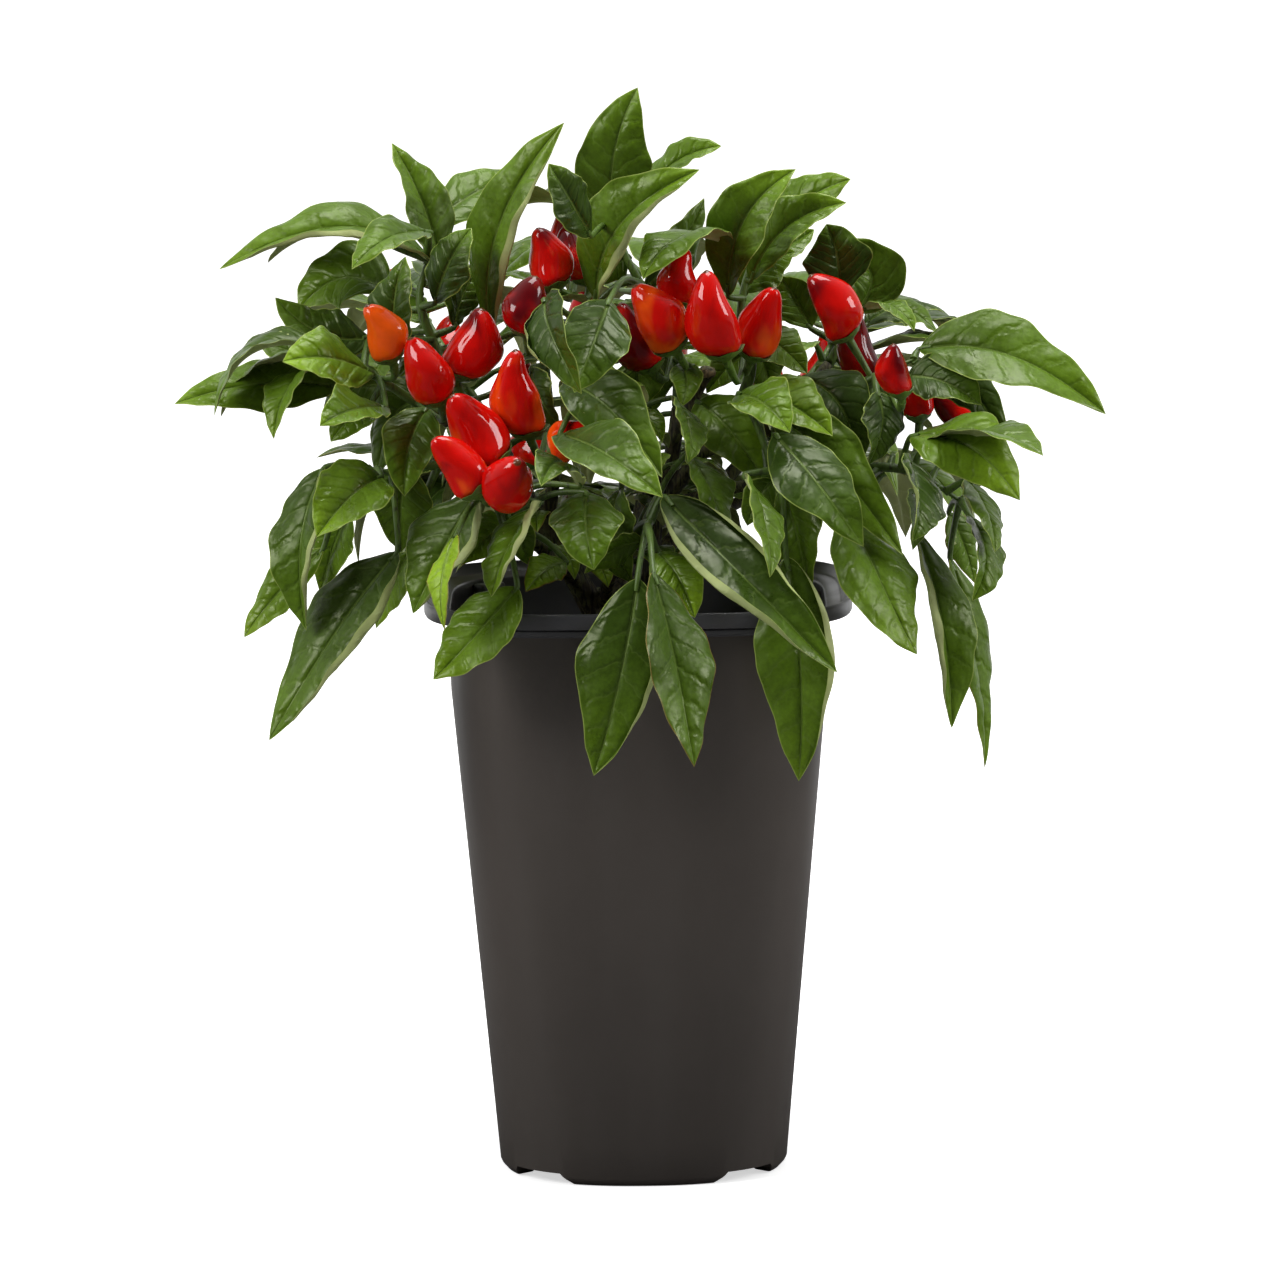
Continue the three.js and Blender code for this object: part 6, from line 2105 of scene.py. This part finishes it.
# %% [markdown]
# ## Studio
# The plant stood in a white studio with large soft lamps at its sides, and a darker room behind the
# camera. That is why the pot looks dark in front and bright at its two silhouettes, and why a leaf shows
# a broad pale sheen only where it faces a lamp. The world is therefore dim towards the front and bright
# towards the back, while the background that is looked at stays white.

# %% Light
LAMPS = {  # place in metres, size in metres, power in watts
    "left_soft_box": ((-1.6, -1.0, 1.5), 1.0, 30),
    "right_soft_box": ((1.8, -0.4, 1.1), 0.8, 18),
    "top_soft_box": ((0.1, 0.1, 2.0), 1.0, 26),
}
LAMP_AIM = (0, 0, 0.26)


def add_lamp(name, place, size, power):
    lamp = bpy.data.lights.new(name, "AREA")
    lamp.size = size
    lamp.energy = power
    holder = new_object(name, lamp)
    holder.location = place
    holder.rotation_mode = "QUATERNION"
    aim = mathutils.Vector(LAMP_AIM) - mathutils.Vector(place)
    holder.rotation_quaternion = aim.to_track_quat("-Z", "Y")


for name, (place, size, power) in LAMPS.items():
    add_lamp(name, place, size, power)
print("lamps:", ", ".join(LAMPS))

# %% World
WORLD_FRONT = 0.05
WORLD_BACK = 0.60
WORLD_FADE = (-0.9, 0.4)  # how far backwards a direction points, from the dim side to the bright side

world = bpy.data.worlds.new("white_studio")
world.use_nodes = True
world_tree = world.node_tree
direction = add_node(world_tree, "ShaderNodeTexCoord").outputs["Generated"]
backwards = add_node(world_tree, "ShaderNodeSeparateXYZ", {0: direction}).outputs[1]
lighting = fade(world_tree, backwards, *WORLD_FADE, WORLD_FRONT, WORLD_BACK)
looked_at = add_node(world_tree, "ShaderNodeLightPath").outputs["Is Camera Ray"]
strength = reckon(world_tree, "MAXIMUM", lighting, looked_at)
feed(world_tree, world_tree.nodes["Background"], {"Color": WHITE, "Strength": strength})
bpy.context.scene.world = world
bpy.context.scene.view_settings.view_transform = "Standard"
print("world:", world.name)

# %% [markdown]
# A pale floor runs under the pot and sweeps up far behind it, with no corner. It belongs to the stage,
# not to the plant. A glow that grows with the distance from the pot keeps it as white as the paper in a
# product picture. The plant is lit by a darker floor than the one that is looked at, so that the pot
# keeps its depth. In reflections the far backdrop glows, which draws the bright lines along the pot's
# two sides.

# %% Floor material
FLOOR_GLOW = (0.6, 0.95)
FLOOR_GLOW_FROM = (0.35, 1.5)  # metres from the pot's middle
BACKDROP_SHINE = 0.9
BACKDROP_FROM = (0.3, 1.5)  # metres behind the pot
FLOOR_WHITE = (0.92, 0.92, 0.92, 1)
FLOOR_IN_LIGHTING = (0.30, 0.30, 0.30, 1)
FLOOR_IN_GLOSS = (0.05, 0.05, 0.05, 1)


def floor_material():
    material, tree, shader = new_material("floor")
    rays = add_node(tree, "ShaderNodeLightPath").outputs
    place = own_place(tree)
    depth = add_node(tree, "ShaderNodeSeparateXYZ", {0: place}).outputs[1]
    behind = fade(tree, depth, *BACKDROP_FROM, 0.0, BACKDROP_SHINE)
    away = add_node(tree, "ShaderNodeVectorMath", {0: place}, operation="LENGTH").outputs["Value"]
    glow = fade(tree, away, *FLOOR_GLOW_FROM, *FLOOR_GLOW)
    shine = reckon(tree, "MULTIPLY", behind, rays["Is Glossy Ray"])
    unseen = mixed(tree, rays["Is Glossy Ray"], FLOOR_IN_LIGHTING, FLOOR_IN_GLOSS)
    feed(tree, shader, {
        "Base Color": mixed(tree, rays["Is Camera Ray"], unseen, FLOOR_WHITE),
        "Roughness": 0.8,
        "Emission Color": WHITE,
        "Emission Strength": reckon(tree, "MULTIPLY_ADD", rays["Is Camera Ray"], glow, shine),
    })
    return material


# %% Floor
FLOOR_HALF_WIDTH = 9000
FLOOR_FRONT = -9000
SWEEP_START = 7000
SWEEP_RADIUS = 900
SWEEP_TOP = 4000
SWEEP_TURNS = (0.1, 1.5, 16)  # first and last angle in radians, and how many

sweep_line = [
    (FLOOR_FRONT, 0),
    (SWEEP_START, 0),
    *(
        (SWEEP_START + SWEEP_RADIUS * math.sin(turn), SWEEP_RADIUS * (1 - math.cos(turn)))
        for turn in np.linspace(*SWEEP_TURNS)
    ),
    (SWEEP_START + SWEEP_RADIUS, SWEEP_TOP),
]
floor = Skin()
floor_points = [(x, y, z) for y, z in sweep_line for x in (-FLOOR_HALF_WIDTH, FLOOR_HALF_WIDTH)]
floor.add(floor_points, [(2 * k, 2 * k + 1, 2 * k + 3, 2 * k + 2) for k in range(len(sweep_line) - 1)])
floor.mesh_object("floor", [floor_material()])
print("floor strips:", len(sweep_line) - 1)
